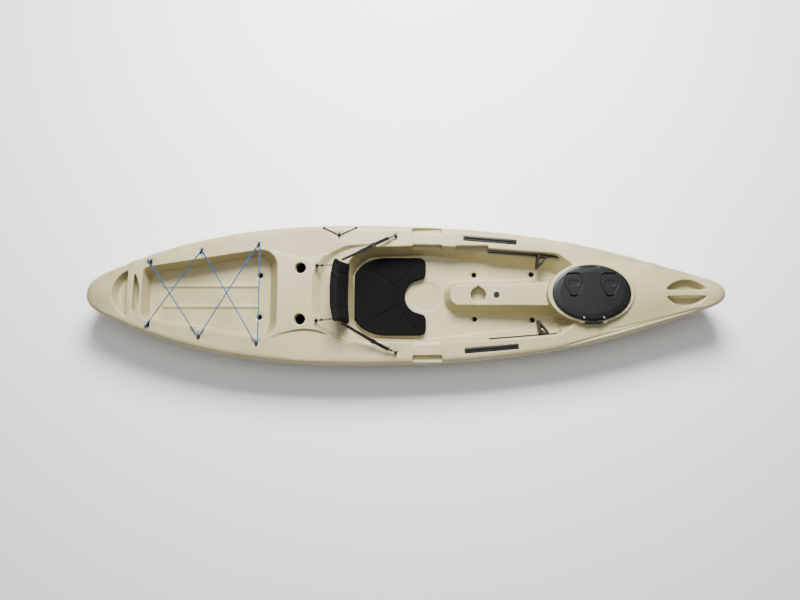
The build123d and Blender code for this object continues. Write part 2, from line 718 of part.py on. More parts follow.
def pad_eye(x, y, turn):
    """Moulded base with a hoop; the hoop stands across the local X axis, its legs along local Y."""
    base = EYE_BASE[2]
    top = EYE_INSIDE + EYE_ROD_R
    with BuildPart() as eye:
        with BuildSketch():
            SlotOverall(EYE_BASE[0], EYE_BASE[1], rotation=90)
        extrude(amount=base)
        with BuildLine(Plane.YZ) as hoop:
            FilletPolyline(
                (-EYE_LEG, base - 1), (-EYE_LEG, top), (EYE_LEG, top), (EYE_LEG, base - 1), radius=6
            )
        with BuildSketch(Plane(origin=(0, -EYE_LEG, base - 1), z_dir=(0, 0, 1))):
            Circle(EYE_ROD_R)
        sweep(path=hoop.line)
        with Locations((0, SCREW_PITCH / 2, 0), (0, -SCREW_PITCH / 2, 0)):
            Cylinder(SCREW_R, 3 * base, mode=Mode.SUBTRACT)
    return Pos(x, y, eye_seat(x, y)) * Rot(0, 0, turn) * eye.part


def eye_screws(x, y, turn):
    with BuildPart() as screws:
        for side in (1, -1):
            add(post(0, side * SCREW_PITCH / 2, SCREW_R, 0, EYE_BASE[2]))
            add(post(0, side * SCREW_PITCH / 2, SCREW_HEAD_R, EYE_BASE[2], EYE_BASE[2] + 1.8))
    return Pos(x, y, eye_seat(x, y)) * Rot(0, 0, turn) * screws.part


FRONT_TURN = degrees(atan2(FRONT_EYE[1] - BUCKLE[1], FRONT_EYE[0] - BUCKLE[0]))
EYE_GROUPS = {
    "tankwell_pad_eyes": [(x, s * y, 0) for x, y in TANK_EYES for s in (1, -1)],
    "rear_seat_pad_eyes": [(REAR_EYE[0], s * REAR_EYE[1], 0) for s in (1, -1)],
    "front_seat_pad_eyes": [(FRONT_EYE[0], s * FRONT_EYE[1], s * FRONT_TURN) for s in (1, -1)],
    "paddle_keeper_pad_eye": [(*KEEPER_EYE, 0)],
}
for name, places in EYE_GROUPS.items():
    with BuildPart() as eyes:
        for place in places:
            add(pad_eye(*place))
    eyes.part.label = name
    export_step(eyes.part, "parts/" + name + ".step")

with BuildPart() as pad_eye_screws:
    for places in EYE_GROUPS.values():
        for place in places:
            add(eye_screws(*place))
pad_eye_screws.part.label = "pad_eye_screws"
export_step(pad_eye_screws.part, "parts/pad_eye_screws.step")


def wrapped_corners(centres, turn_r):
    """Corner points whose arcs of radius turn_r lie round the given centres, the ends kept as given."""
    corners = [Vector(*c) for c in centres]
    for settle in range(30):
        for index in range(1, len(centres) - 1):
            centre = Vector(*centres[index])
            beside = (corners[index - 1], corners[index + 1])
            flat = [Vector(p.X - centre.X, p.Y - centre.Y, 0) for p in beside]
            bisector = (flat[0].normalized() + flat[1].normalized()).normalized()
            half_angle = radians(flat[0].get_angle(flat[1])) / 2
            corners[index] = centre - bisector * (turn_r / sin(half_angle))
    return corners


def round_cord(points, radius, turn_r):
    with BuildPart() as cord:
        with BuildLine() as route:
            FilletPolyline(*points, radius=turn_r)
        start = route.line @ 0
        with BuildSketch(Plane(origin=start, z_dir=route.line % 0)):
            Circle(radius)
        sweep(path=route.line)
    return cord.part


def eye_leg(x, y, height):
    """Centre of the hoop leg on the inboard side, at a height above the eye's seat."""
    inboard = -EYE_LEG if y > 0 else EYE_LEG
    return (x, y + inboard, eye_seat(x, y) + height)


AFT, MIDDLE, FORE = TANK_EYES
BUNGEE_ENDS = [
    (AFT[0] - 14, AFT[1] + 8, eye_seat(*AFT) + CORD_HIGH),
    (AFT[0] - 14, -AFT[1] - 8, eye_seat(*AFT) + CORD_LOW),
]
BUNGEE_CENTRES = [
    BUNGEE_ENDS[0],
    eye_leg(MIDDLE[0], -MIDDLE[1], CORD_HIGH),
    eye_leg(FORE[0], FORE[1], CORD_HIGH),
    eye_leg(FORE[0], -FORE[1], CORD_LOW),
    eye_leg(MIDDLE[0], MIDDLE[1], CORD_LOW),
    BUNGEE_ENDS[1],
]
with BuildPart() as tankwell_bungee:
    add(round_cord(wrapped_corners(BUNGEE_CENTRES, WRAP_R), BUNGEE_R, WRAP_R))
    for end in BUNGEE_ENDS:
        with Locations(end):
            Sphere(KNOT_R)
tankwell_bungee.part.label = "tankwell_bungee"
export_step(tankwell_bungee.part, "parts/tankwell_bungee.step")

KEEPER_ANCHORS = [(x, y, deck_z(x, y)) for x, y in KEEPER_ENDS]
KEEPER_MIDDLE = (KEEPER_EYE[0], KEEPER_EYE[1] + EYE_LEG, eye_seat(*KEEPER_EYE) + CORD_LOW)
keeper_starts = [(x, y, z + ANCHOR_CORD_Z) for x, y, z in KEEPER_ANCHORS]
with BuildPart() as paddle_keeper_bungee:
    route_points = [keeper_starts[0], KEEPER_MIDDLE, keeper_starts[1]]
    add(round_cord(wrapped_corners(route_points, WRAP_R), KEEPER_R, WRAP_R))
paddle_keeper_bungee.part.label = "paddle_keeper_bungee"
export_step(paddle_keeper_bungee.part, "parts/paddle_keeper_bungee.step")

with BuildPart() as paddle_keeper_anchors:
    for x, y, z in KEEPER_ANCHORS:
        add(post(x, y, 7, z - 8, z + 4.5))
        with Locations((x, y, z + ANCHOR_CORD_Z)):
            Sphere(5)
    add(paddle_keeper_bungee.part, mode=Mode.SUBTRACT)
    add(OUTER, mode=Mode.SUBTRACT)
paddle_keeper_anchors.part.label = "paddle_keeper_anchors"
export_step(paddle_keeper_anchors.part, "parts/paddle_keeper_anchors.step")

# ---------------------------------------------------------------- gear tracks and foot braces
TRACK_SCREWS = (-0.42, -0.14, 0.14, 0.42)
for side, name in ((1, "port"), (-1, "starboard")):
    seat = slanted_plane(TRACK_AFT, TRACK_FORE, side, TRACK_SEAT)
    with BuildPart() as track:
        add(slanted_box(seat, (TRACK_LENGTH, TRACK_WIDTH, TRACK_HEIGHT), 0))
        add(slanted_box(seat, (TRACK_LENGTH - 16, TRACK_SLOT, 20), 3), mode=Mode.SUBTRACT)
        add(slanted_box(seat, (TRACK_LENGTH - 16, TRACK_CAVITY, 5), 3), mode=Mode.SUBTRACT)
        with Locations([seat * Pos(share * TRACK_LENGTH, 0, 0) for share in TRACK_SCREWS]):
            Cylinder(SCREW_R, 12, mode=Mode.SUBTRACT)
    track.part.label = "gear_track_" + name
    export_step(track.part, "parts/gear_track_" + name + ".step")

with BuildPart() as gear_track_screws:
    for side in (1, -1):
        seat = slanted_plane(TRACK_AFT, TRACK_FORE, side, TRACK_SEAT)
        for share in TRACK_SCREWS:
            with Locations(seat * Pos(share * TRACK_LENGTH, 0, 1.5)):
                Cylinder(SCREW_R, 3)
            with Locations(seat * Pos(share * TRACK_LENGTH, 0, 4)):
                Cylinder(SCREW_HEAD_R, 2)
gear_track_screws.part.label = "gear_track_screws"
export_step(gear_track_screws.part, "parts/gear_track_screws.step")

# each pedal: a carriage in its rail's channel, a foot plate across the footwell and a slanted brace
RAIL_WEB = 3.0
RAIL_SCREWS = (-0.47, 0.47)
PLATE_X = -PEDAL_BASE / 2
BRACE_HALF = 13.0
CARRIAGE_HEIGHT = RAIL_SLOT - 2 * RUN_CLEARANCE
for side, name in ((1, "port"), (-1, "starboard")):
    line = slanted_plane(RAIL_AFT, RAIL_FORE, side, RAIL_Z)
    inboard = -side
    with BuildPart() as rail:
        body = (RAIL_LENGTH, RAIL_THICK, RAIL_HEIGHT)
        add(slanted_box(line, body, -RAIL_HEIGHT / 2, inboard * RAIL_THICK / 2))
        channel = slanted_box(line, (RAIL_LENGTH - 12, 20, RAIL_SLOT), -RAIL_SLOT / 2, inboard * (RAIL_WEB + 10))
        add(channel, mode=Mode.SUBTRACT)
        for share in RAIL_SCREWS:
            with Locations(line * Location((share * RAIL_LENGTH, inboard * 2, 0), (90, 0, 0))):
                Cylinder(SCREW_R, 12, mode=Mode.SUBTRACT)
    rail.part.label = "foot_rail_" + name
    export_step(rail.part, "parts/foot_rail_" + name + ".step")

    face = RAIL_THICK + RUN_CLEARANCE
    reach = face + PEDAL_REACH
    low_in = RAIL_WEB + RUN_CLEARANCE
    plate_plane = Plane(origin=line.origin, x_dir=line.y_dir * inboard, z_dir=line.x_dir * inboard)
    with BuildPart() as pedal:
        carriage = (PEDAL_BASE, face - low_in + 0.5, CARRIAGE_HEIGHT)
        add(slanted_box(line, carriage, -CARRIAGE_HEIGHT / 2, inboard * (low_in + face + 0.5) / 2))
        add(slanted_box(line, (PEDAL_BASE, 8, PEDAL_BRACKET), -PEDAL_BRACKET / 2, inboard * (face + 4)))
        plate_offset = PLATE_X * inboard
        with BuildSketch(plate_plane.offset(plate_offset)):
            with BuildLine():
                FilletPolyline(
                    (face, 3 - PEDAL_BRACKET / 2), (face, PEDAL_UP), (reach, PEDAL_UP),
                    (reach + 4, -PEDAL_DOWN), (face + 40, -PEDAL_DOWN), (face + 14, -1 - PEDAL_BRACKET / 2),
                    radius=[2, 12, 14, 14, 8, 4], close=True,
                )
            make_face()
        extrude(amount=9 * inboard)
        with BuildSketch(line.offset(-BRACE_HALF)):
            with BuildLine():
                Polyline(
                    (PLATE_X + 8, inboard * (reach - 14)), (PLATE_X + 8, inboard * (reach - 4)),
                    (PLATE_X + 14, inboard * (reach - 4)), (PEDAL_BASE / 2, inboard * (face + 8)),
                    (PEDAL_BASE / 2 - 8, inboard * (face + 2)),
                    close=True,
                )
            make_face()
        extrude(amount=2 * BRACE_HALF)
    slid = line.x_dir * (RAIL_LENGTH / 2 - PEDAL_FROM_END)
    pedal_part = pedal.part.moved(Location(slid))
    pedal_part.label = "foot_pedal_" + name
    export_step(pedal_part, "parts/foot_pedal_" + name + ".step")

    with BuildPart() as release:
        add(slanted_box(line, (20, 7, 24), -BRACE_HALF - SOFT_GAP - 24, inboard * (face + 41)))
        add(slanted_box(line, (8, 12, 7), -BRACE_HALF - SOFT_GAP - 26, inboard * (face + 41)))
    release_part = release.part.moved(Location(slid))
    release_part.label = "pedal_release_" + name
    export_step(release_part, "parts/pedal_release_" + name + ".step")

with BuildPart() as foot_rail_screws:
    for side in (1, -1):
        line = slanted_plane(RAIL_AFT, RAIL_FORE, side, RAIL_Z)
        for share in RAIL_SCREWS:
            with Locations(line * Location((share * RAIL_LENGTH, -side * RAIL_WEB / 2, 0), (90, 0, 0))):
                Cylinder(SCREW_R, RAIL_WEB)
            with Locations(line * Location((share * RAIL_LENGTH, -side * (RAIL_WEB + 1), 0), (90, 0, 0))):
                Cylinder(SCREW_HEAD_R, 2)
foot_rail_screws.part.label = "foot_rail_screws"
export_step(foot_rail_screws.part, "parts/foot_rail_screws.step")

# ---------------------------------------------------------------- plug and inner foam
PLUG_SEAT_Z = CONSOLE_NOSE_Z + (PLUG_X - CONSOLE_TOP[0][0]) * tan(radians(CONSOLE_SLOPE))
with BuildPart() as console_plug:
    add(post(PLUG_X, 0, PLUG_HOLE_R - 0.4, PLUG_SEAT_Z - WALL - 12, PLUG_SEAT_Z + 2))
    add(post(PLUG_X, 0, PLUG_HOLE_R + 3, PLUG_SEAT_Z + 1.5, PLUG_SEAT_Z + 5))
console_plug.part.label = "console_plug"
export_step(console_plug.part, "parts/console_plug.step")

FOAM_SPANS = {
    "foam_support_bow": ((BOW - 520, BOW - 385), (-40, 40)),
    "foam_support_stern": ((-718, -640), (-60, 60)),
}
FOAM_ROOM = hull_form(WALL + SOFT_GAP)
for name, (span_x, span_y) in FOAM_SPANS.items():
    with BuildPart() as foam:
        add(plain_box(span_x, span_y, (0, 400), 0))
        add(FOAM_ROOM, mode=Mode.INTERSECT)
    foam.part.label = name
    export_step(foam.part, "parts/" + name + ".step")

# ---------------------------------------------------------------- seat
PAD_SHOULDER = PAD_REAR + 86
with BuildPart() as seat_pad:
    with BuildSketch(Plane.XY.offset(WELL_FLOOR_Z + SOFT_GAP)):
        with BuildLine():
            FilletPolyline(
                (PAD_REAR, PAD_HALF / 2), (PAD_SHOULDER, PAD_HALF), (PAD_FRONT, PAD_HALF),
                (PAD_FRONT, -PAD_HALF), (PAD_SHOULDER, -PAD_HALF), (PAD_REAR, -PAD_HALF / 2),
                radius=[110, 110, 42, 42, 110, 110], close=True,
            )
        make_face()
        with Locations((PAD_FRONT - 20, 0)):
            Circle(PAD_NOTCH_R, mode=Mode.SUBTRACT)
    extrude(amount=PAD_THICK)
seat_pad.part.label = "seat_pad"
export_step(seat_pad.part, "parts/seat_pad.step")

lean = radians(BACK_LEAN)
back_plane = Plane(origin=BACK_HINGE, x_dir=(cos(lean), 0, sin(lean)), z_dir=(-sin(lean), 0, cos(lean)))
BACK_SAG = BACK_R - (BACK_R**2 - BACK_HALF**2) ** 0.5
HALF_THICK = BACK_THICK / 2
with BuildPart() as seat_back:
    with BuildSketch(back_plane.offset(SOFT_GAP)):
        with BuildLine():
            rear = BACK_SAG - HALF_THICK
            front = 0.6 * BACK_SAG + HALF_THICK
            ThreePointArc((rear, BACK_HALF), (-HALF_THICK, 0), (rear, -BACK_HALF))
            Line((rear, -BACK_HALF), (front, -BACK_HALF))
            ThreePointArc((front, -BACK_HALF), (HALF_THICK, 0), (front, BACK_HALF))
            Line((front, BACK_HALF), (rear, BACK_HALF))
        make_face()
    extrude(amount=BACK_HEIGHT)
    fillet(seat_back.edges().filter_by(Axis(BACK_HINGE, back_plane.z_dir)), 8)
seat_back.part.label = "seat_back"
export_step(seat_back.part, "parts/seat_back.step")


def band(start, end, width, thick):
    """Straight piece of webbing between two points, lying flat across its width."""
    along = (Vector(*end) - Vector(*start)).normalized()
    across = Vector(-along.Y, along.X, 0).normalized()
    with BuildPart() as web:
        with BuildSketch(Plane(origin=start, x_dir=across, z_dir=along)):
            Rectangle(width, thick)
        extrude(amount=(Vector(*end) - Vector(*start)).length)
    return web.part


def point_on_back(x, y, up):
    return back_plane.from_local_coords(Vector(x, y, up))


def between(start, end, share):
    return Vector(*start) + (Vector(*end) - Vector(*start)) * share


def hoop_centre(place, side):
    """Centre of the top rod of an eye's hoop, where a hook hangs."""
    return Vector(place[0], side * place[1], eye_seat(*place) + EYE_INSIDE + EYE_ROD_R)


def snap_hook(eye, toward, length, bail):
    """Snap hook: a ring round the eye's hoop, a swivel barrel and a flat bail for the webbing."""
    along = (toward - eye).normalized()
    flat = Vector(along.X, along.Y, 0).normalized()
    ring_plane = Plane(origin=eye, x_dir=along, z_dir=Vector(-flat.Y, flat.X, 0))
    with BuildPart() as hook:
        with BuildSketch(ring_plane.offset(-HOOK_WIRE / 2)):
            with Locations((HOOK_RING / 2 - 9, 0)):
                SlotOverall(HOOK_RING, 18)
                SlotOverall(HOOK_RING - 2 * HOOK_WIRE, 18 - 2 * HOOK_WIRE, mode=Mode.SUBTRACT)
        extrude(amount=HOOK_WIRE)
        barrel = eye + along * (HOOK_RING - 10)
        add(band(barrel, eye + along * (length - 6), bail * 0.45, 6))
        add(band(eye + along * (length - 8), eye + along * length, bail, 6))
    return hook.part


front_hooks = []
for side, name in ((1, "port"), (-1, "starboard")):
    buckle = Vector(BUCKLE[0], side * BUCKLE[1], BUCKLE[2])
    at_side = point_on_back((rear + front) / 2, side * BACK_HALF, 0.62 * BACK_HEIGHT)
    aim = buckle - at_side
    beside = WEB_WIDTH / 2 * aim.X / (aim.X**2 + aim.Y**2) ** 0.5 + SOFT_GAP + 0.1
    strap_start = at_side + Vector(0, side * beside, 0)
    eye = hoop_centre(FRONT_EYE, side)
    run = (buckle - strap_start).normalized()
    onward = (eye - buckle).normalized()
    front_hooks.append(snap_hook(eye, buckle, FRONT_HOOK, WEB_WIDTH + 5))
    with BuildPart() as front_strap:
        add(band(strap_start, buckle - run * BUCKLE_HALF, WEB_WIDTH, WEB_THICK))
        add(band(buckle + onward * BUCKLE_HALF, eye - onward * (FRONT_HOOK + SOFT_GAP), WEB_WIDTH, WEB_THICK))
    front_strap.part.label = "front_strap_" + name
    export_step(front_strap.part, "parts/front_strap_" + name + ".step")

    across = Vector(-run.Y, run.X, 0).normalized()
    with BuildPart() as strap_buckle:
        with BuildSketch(Plane(origin=buckle, x_dir=run, z_dir=run.cross(across)).offset(-3)):
            RectangleRounded(2 * BUCKLE_HALF - 1, WEB_WIDTH + 7, 3)
            with Locations((-6, 0), (6, 0)):
                Rectangle(5, WEB_WIDTH + 1, mode=Mode.SUBTRACT)
        extrude(amount=6)
    strap_buckle.part.label = "strap_buckle_" + name
    export_step(strap_buckle.part, "parts/strap_buckle_" + name + ".step")

with BuildPart() as front_snap_hooks:
    for hook in front_hooks:
        add(hook)
front_snap_hooks.part.label = "front_snap_hooks"
export_step(front_snap_hooks.part, "parts/front_snap_hooks.step")

rear_hooks = []
rear_webs = []
for side in (1, -1):
    eye = hoop_centre(REAR_EYE, side)
    on_back = point_on_back(2, side * 0.85 * BACK_HALF, 0.59 * BACK_HEIGHT)
    along = (on_back - eye).normalized()
    rear_hooks.append(snap_hook(eye, on_back, REAR_HOOK, 16))
    rear_webs.append(band(eye + along * (REAR_HOOK + SOFT_GAP), on_back, 10, WEB_THICK))
with BuildPart() as rear_snap_hooks:
    for hook in rear_hooks:
        add(hook)
rear_snap_hooks.part.label = "rear_snap_hooks"
export_step(rear_snap_hooks.part, "parts/rear_snap_hooks.step")
with BuildPart() as rear_straps:
    for web in rear_webs:
        add(web)
    add(seat_back.part, mode=Mode.SUBTRACT)
rear_straps.part.label = "rear_straps"
export_step(rear_straps.part, "parts/rear_straps.step")
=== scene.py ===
"""Sit-on-top kayak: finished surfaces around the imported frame.

Every length is in metres in the frame of the CAD model: +X to the bow, +Y to port, +Z up.
"""
from math import cos, pi, radians, sin, sqrt

import bmesh
import bpy
import numpy as np
from bpy.props import FloatProperty, IntProperty, PointerProperty
from bpy.types import Operator, Panel, PropertyGroup
from mathutils import Matrix, Vector


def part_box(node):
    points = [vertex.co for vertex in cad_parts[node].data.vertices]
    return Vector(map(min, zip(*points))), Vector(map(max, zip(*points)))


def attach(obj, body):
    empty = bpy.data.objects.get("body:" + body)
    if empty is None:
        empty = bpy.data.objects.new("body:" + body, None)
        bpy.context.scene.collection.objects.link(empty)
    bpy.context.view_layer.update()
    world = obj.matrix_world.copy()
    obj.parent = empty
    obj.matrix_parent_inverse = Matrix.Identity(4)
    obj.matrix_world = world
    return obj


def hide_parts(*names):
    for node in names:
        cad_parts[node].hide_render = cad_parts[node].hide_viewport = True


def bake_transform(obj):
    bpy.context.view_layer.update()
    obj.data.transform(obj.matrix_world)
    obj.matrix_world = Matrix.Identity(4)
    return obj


bl_info = {
    "name": "Sit-on-top Kayak",
    "version": (1, 0, 0),
    "blender": (4, 5, 0),
    "location": "View3D > Sidebar > Kayak",
    "description": "Builds the finished surfaces of a sit-on-top kayak",
    "category": "Add Mesh",
}

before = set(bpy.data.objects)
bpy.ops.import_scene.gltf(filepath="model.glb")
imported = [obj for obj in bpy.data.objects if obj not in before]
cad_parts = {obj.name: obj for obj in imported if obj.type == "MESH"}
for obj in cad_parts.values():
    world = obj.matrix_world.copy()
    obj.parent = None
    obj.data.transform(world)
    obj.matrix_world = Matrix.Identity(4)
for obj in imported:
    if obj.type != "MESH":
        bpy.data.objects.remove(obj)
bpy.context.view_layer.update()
MM = 0.001
# triangle limits: none at all, and the hull's skin
WHOLE = 10 ** 9
SKIN_TRIANGLES = 190000

# hatch opening: its middle, the height of its rim, and its half length and half width
HATCH_X = 1.057
HATCH_TOP = 0.312
OPENING = (0.184, 0.114)
# plug hole in the console: its middle, its radius and the height of the deck round it
PLUG = (0.529, 0.014, 0.2408)


def lowest(node):
    return Vector(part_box(node)[0])


def highest(node):
    return Vector(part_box(node)[1])


# ---------------------------------------------------------------- colours and materials
def linear(colour):
    """An sRGB hex value as linear RGBA."""
    channels = [int(colour[i:i + 2], 16) / 255 for i in (0, 2, 4)]
    return [c / 12.92 if c <= 0.04045 else ((c + 0.055) / 1.055) ** 2.4 for c in channels] + [1.0]


def add_node(tree, kind, inputs=None, **settings):
    """Adds a node; an input's value is a plain value, or (node, output name) for a link."""
    made = tree.nodes.new(kind)
    for key, value in settings.items():
        setattr(made, key, value)
    for key, value in (inputs or {}).items():
        if isinstance(value, tuple) and hasattr(value[0], "outputs"):
            tree.links.new(value[0].outputs[value[1]], made.inputs[key])
        else:
            made.inputs[key].default_value = value
    return made


def ramp(tree, source, stops):
    made = add_node(tree, "ShaderNodeValToRGB", {"Fac": source})
    elements = made.color_ramp.elements
    while len(elements) < len(stops):
        elements.new(0.5)
    for element, (place, colour) in zip(elements, stops):
        element.position = place
        element.color = colour
    return made


def new_material(name):
    made = bpy.data.materials.new(name)
    made.use_nodes = True
    made.node_tree.nodes.clear()
    return made, made.node_tree


def finish_material(tree, colour, roughness, bump=None, bump_mm=0.1, strength=1.0, **sockets):
    """Principled shader and output; colour and roughness are values or links."""
    inputs = {"Base Color": colour, "Roughness": roughness}
    inputs.update({key.replace("_", " "): value for key, value in sockets.items()})
    if bump:
        lift = add_node(
            tree, "ShaderNodeBump", {"Height": bump, "Distance": bump_mm * MM, "Strength": strength}
        )
        inputs["Normal"] = (lift, "Normal")
    shader = add_node(tree, "ShaderNodeBsdfPrincipled", inputs)
    add_node(tree, "ShaderNodeOutputMaterial", {"Surface": (shader, "BSDF")})


def speckled(name, low, high, grain_mm, rough, bump_mm, patch_mm=180.0, strength=0.6, **sockets):
    """Moulded plastic: broad colour drift, fine grain in the bump and a slightly uneven gloss."""
    made, tree = new_material(name)
    place = (add_node(tree, "ShaderNodeTexCoord"), "Object")
    drift = add_node(
        tree, "ShaderNodeTexNoise",
        {"Vector": place, "Scale": 1000 / patch_mm, "Detail": 3.0, "Roughness": 0.5},
    )
    grain = add_node(
        tree, "ShaderNodeTexNoise",
        {"Vector": place, "Scale": 1000 / grain_mm, "Detail": 4.0, "Roughness": 0.6},
    )
    colour = ramp(tree, (drift, "Fac"), [(0.3, linear(low)), (0.7, linear(high))])
    gloss = add_node(
        tree, "ShaderNodeMapRange",
        {"Value": (grain, "Fac"), "From Min": 0.3, "From Max": 0.7, "To Min": rough[0], "To Max": rough[1]},
    )
    finish_material(
        tree, (colour, "Color"), (gloss, "Result"), (grain, "Fac"), bump_mm, strength, **sockets
    )
    return made


# a wave texture repeats once in this many units of its scale
WAVE_TURN = 6.283


def woven(name, low, high, thread_mm, rough, bump_mm=0.25, sheen=0.3):
    """Woven nylon: crossing threads as ridges, a thread wide, with a soft nap."""
    made, tree = new_material(name)
    place = (add_node(tree, "ShaderNodeTexCoord"), "Object")
    ridges = []
    for direction in ("X", "Y", "Z"):
        wave = add_node(
            tree, "ShaderNodeTexWave",
            {"Vector": place, "Scale": 1000 / (thread_mm * WAVE_TURN), "Distortion": 0.4, "Detail": 1.0},
            bands_direction=direction,
        )
        ridges.append(wave)
    crossed = add_node(
        tree, "ShaderNodeMath", {0: (ridges[0], "Fac"), 1: (ridges[1], "Fac")}, operation="MAXIMUM"
    )
    mesh = add_node(
        tree, "ShaderNodeMath", {0: (crossed, "Value"), 1: (ridges[2], "Fac")}, operation="MULTIPLY"
    )
    colour = ramp(tree, (mesh, "Value"), [(0.0, linear(low)), (1.0, linear(high))])
    finish_material(
        tree, (colour, "Color"), rough, (mesh, "Value"), bump_mm, 0.8,
        Sheen_Weight=sheen, Sheen_Roughness=0.5, Specular_IOR_Level=0.2,
    )
    return made


def make_materials():
    """One material for each real finish, and one dark material for the painted shade in deep holes."""
    made = {}
    # rotomoulded polyethylene: satin, faintly mottled, with the orange peel of the mould
    made["polyethylene"] = speckled(
        "rotomoulded polyethylene", "a0976f", "aea47d", 2.5, (0.38, 0.54), 0.12, 260.0, 0.5,
        IOR=1.5, Specular_IOR_Level=0.45,
    )
    # injection-moulded ABS lid: dark satin with a fine spark grain
    made["lid"] = speckled(
        "satin ABS", "07090b", "0d0f11", 0.9, (0.36, 0.48), 0.05, 90.0, 0.6, Specular_IOR_Level=0.32
    )
    # glass-filled nylon fittings: near black, finely grained
    made["nylon"] = speckled(
        "black nylon", "050606", "0b0c0c", 0.7, (0.42, 0.56), 0.04, 40.0, 0.6, Specular_IOR_Level=0.35
    )
    # anodised aluminium track: black with a fine drawn grain
    made["track"] = speckled(
        "black anodised aluminium", "040506", "08090b", 0.6, (0.4, 0.5), 0.02, 60.0, 0.6,
        Specular_IOR_Level=0.3,
    )
    # brushed stainless: the hinge pin and the screws of the pad eyes, hinge and foot rails
    made["steel"] = speckled(
        "stainless steel", "b9bab9", "cfd0cf", 0.5, (0.2, 0.34), 0.01, 30.0, 0.4, Metallic=1.0
    )
    # EPDM rubber: dull and soft looking
    made["rubber"] = speckled(
        "rubber", "08090a", "0e0f10", 0.8, (0.62, 0.76), 0.05, 30.0, Specular_IOR_Level=0.3
    )
    # closed-cell foam with a pebbled skin
    made["foam"] = speckled(
        "moulded EVA foam", "020202", "050505", 1.8, (0.75, 0.88), 0.3, 120.0, 0.9,
        Specular_IOR_Level=0.12,
    )
    # tubes that go down through the hull: the same plastic, painted dark to stand in for the shade deep
    # inside them
    made["tube"] = speckled("tube wall painted shade", "15130f", "221f18", 2.5, (0.6, 0.75), 0.1, 30.0)
    # black oxide: screws of the gear tracks and pins of the latches
    made["black screw"] = speckled(
        "black oxide steel", "101113", "191a1c", 0.5, (0.35, 0.45), 0.01, 20.0, Metallic=0.6
    )
    # foam supports inside the hull
    made["white foam"] = speckled("white foam", "dedcd4", "ebe9e2", 3.0, (0.7, 0.85), 0.3, 80.0)
    # covers, straps and cords
    made["padding"] = woven("woven nylon cover", "020202", "070708", 1.4, 0.85, 0.25, 0.0)
    made["webbing"] = woven("nylon webbing", "020202", "080809", 1.2, 0.8, 0.3, 0.0)
    made["grey webbing"] = woven("olive webbing", "4a4c45", "75776c", 1.2, 0.65, 0.3)
    made["blue cord"] = woven("braided blue cord", "0c3a68", "1c62a4", 1.3, 0.6, 0.3, 0.0)
    made["black cord"] = woven("braided black cord", "020202", "080809", 1.3, 0.75, 0.3, 0.0)
    return made


# ---------------------------------------------------------------- modelling helpers
def only(*objects):
    """Leaves just these objects selected, the first one active."""
    if bpy.context.object and bpy.context.object.mode != "OBJECT":
        bpy.ops.object.mode_set(mode="OBJECT")
    bpy.ops.object.select_all(action="DESELECT")
    for each in objects:
        each.select_set(True)
    if objects:
        bpy.context.view_layer.objects.active = objects[0]


def apply(obj, kind, **settings):
    only(obj)
    made = obj.modifiers.new(kind.lower(), kind)
    for key, value in settings.items():
        setattr(made, key, value)
    bpy.ops.object.modifier_apply(modifier=made.name)


def cad_copy(node, name):
    """A merged copy of a CAD node's mesh, as an object of its own."""
    made = bpy.data.objects.new(name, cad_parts[node].data.copy())
    bpy.context.scene.collection.objects.link(made)
    made.data.materials.clear()
    only(made)
    bpy.ops.object.mode_set(mode="EDIT")
    bpy.ops.mesh.select_all(action="SELECT")
    bpy.ops.mesh.remove_doubles(threshold=1e-6)
    bpy.ops.object.mode_set(mode="OBJECT")
    return made


def dress(obj, material):
    obj.data.materials.clear()
    obj.data.materials.append(material)


def triangles(obj):
    return sum(len(p.vertices) - 2 for p in obj.data.polygons)


def thin(obj, limit):
    count = triangles(obj)
    if count > limit:
        apply(obj, "DECIMATE", ratio=limit / count)


def soften(obj, voxel_mm, rounds, limit):
    """Moulded edges: an even skin of small faces, its edges rounded by smoothing."""
    apply(obj, "REMESH", mode="VOXEL", voxel_size=voxel_mm * MM)
    apply(obj, "SMOOTH", factor=0.5, iterations=rounds)
    thin(obj, limit)
    only(obj)
    bpy.ops.object.shade_smooth()


def moulded(node, name, body, material, voxel_mm, rounds=3, limit=60000):
    """A moulded piece in place of its CAD node, with soft edges."""
    made = cad_copy(node, name)
    soften(made, voxel_mm, rounds, limit)
    dress(made, material)
    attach(made, body)
    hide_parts(node)
    return made


def edged(node, name, body, material, bevel_mm):
    """A machined or moulded piece with flat sides, its edges broken by a small bevel."""
    made = cad_copy(node, name)
    apply(made, "DECIMATE", decimate_type="DISSOLVE", angle_limit=radians(1))
    apply(made, "BEVEL", width=bevel_mm * MM, segments=3, limit_method="ANGLE", angle_limit=radians(35),
          use_clamp_overlap=True, harden_normals=False)
    apply(made, "TRIANGULATE")
    only(made)
    bpy.ops.object.shade_smooth_by_angle(angle=radians(40))
    dress(made, material)
    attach(made, body)
    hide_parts(node)
    return made


def join(objects, name):
    only(*objects)
    if len(objects) > 1:
        bpy.ops.object.join()
    made = bpy.context.object
    made.name = name
    made.data.name = name
    bpy.ops.object.transform_apply(location=True, rotation=True, scale=True)
    return made


# ---------------------------------------------------------------- hull
def on_opening(point):
    reach = ((point.x - HATCH_X) / OPENING[0]) ** 2 + (point.y / OPENING[1]) ** 2
    return abs(reach - 1) < 0.02


def on_plug(point):
    return abs(sqrt((point.x - PLUG[0]) ** 2 + point.y ** 2) - PLUG[1]) < 5e-4 and point.z > 0.2


def rim_edge(edge):
    """Edges of the outer rims of the hatch opening and the plug hole."""
    ends = [v.co for v in edge.verts]
    hatch = all(on_opening(p) and abs(p.z - HATCH_TOP) < 3e-4 for p in ends)
    plug = all(on_plug(p) and p.z > PLUG[2] - 2e-3 for p in ends)
    return hatch or plug


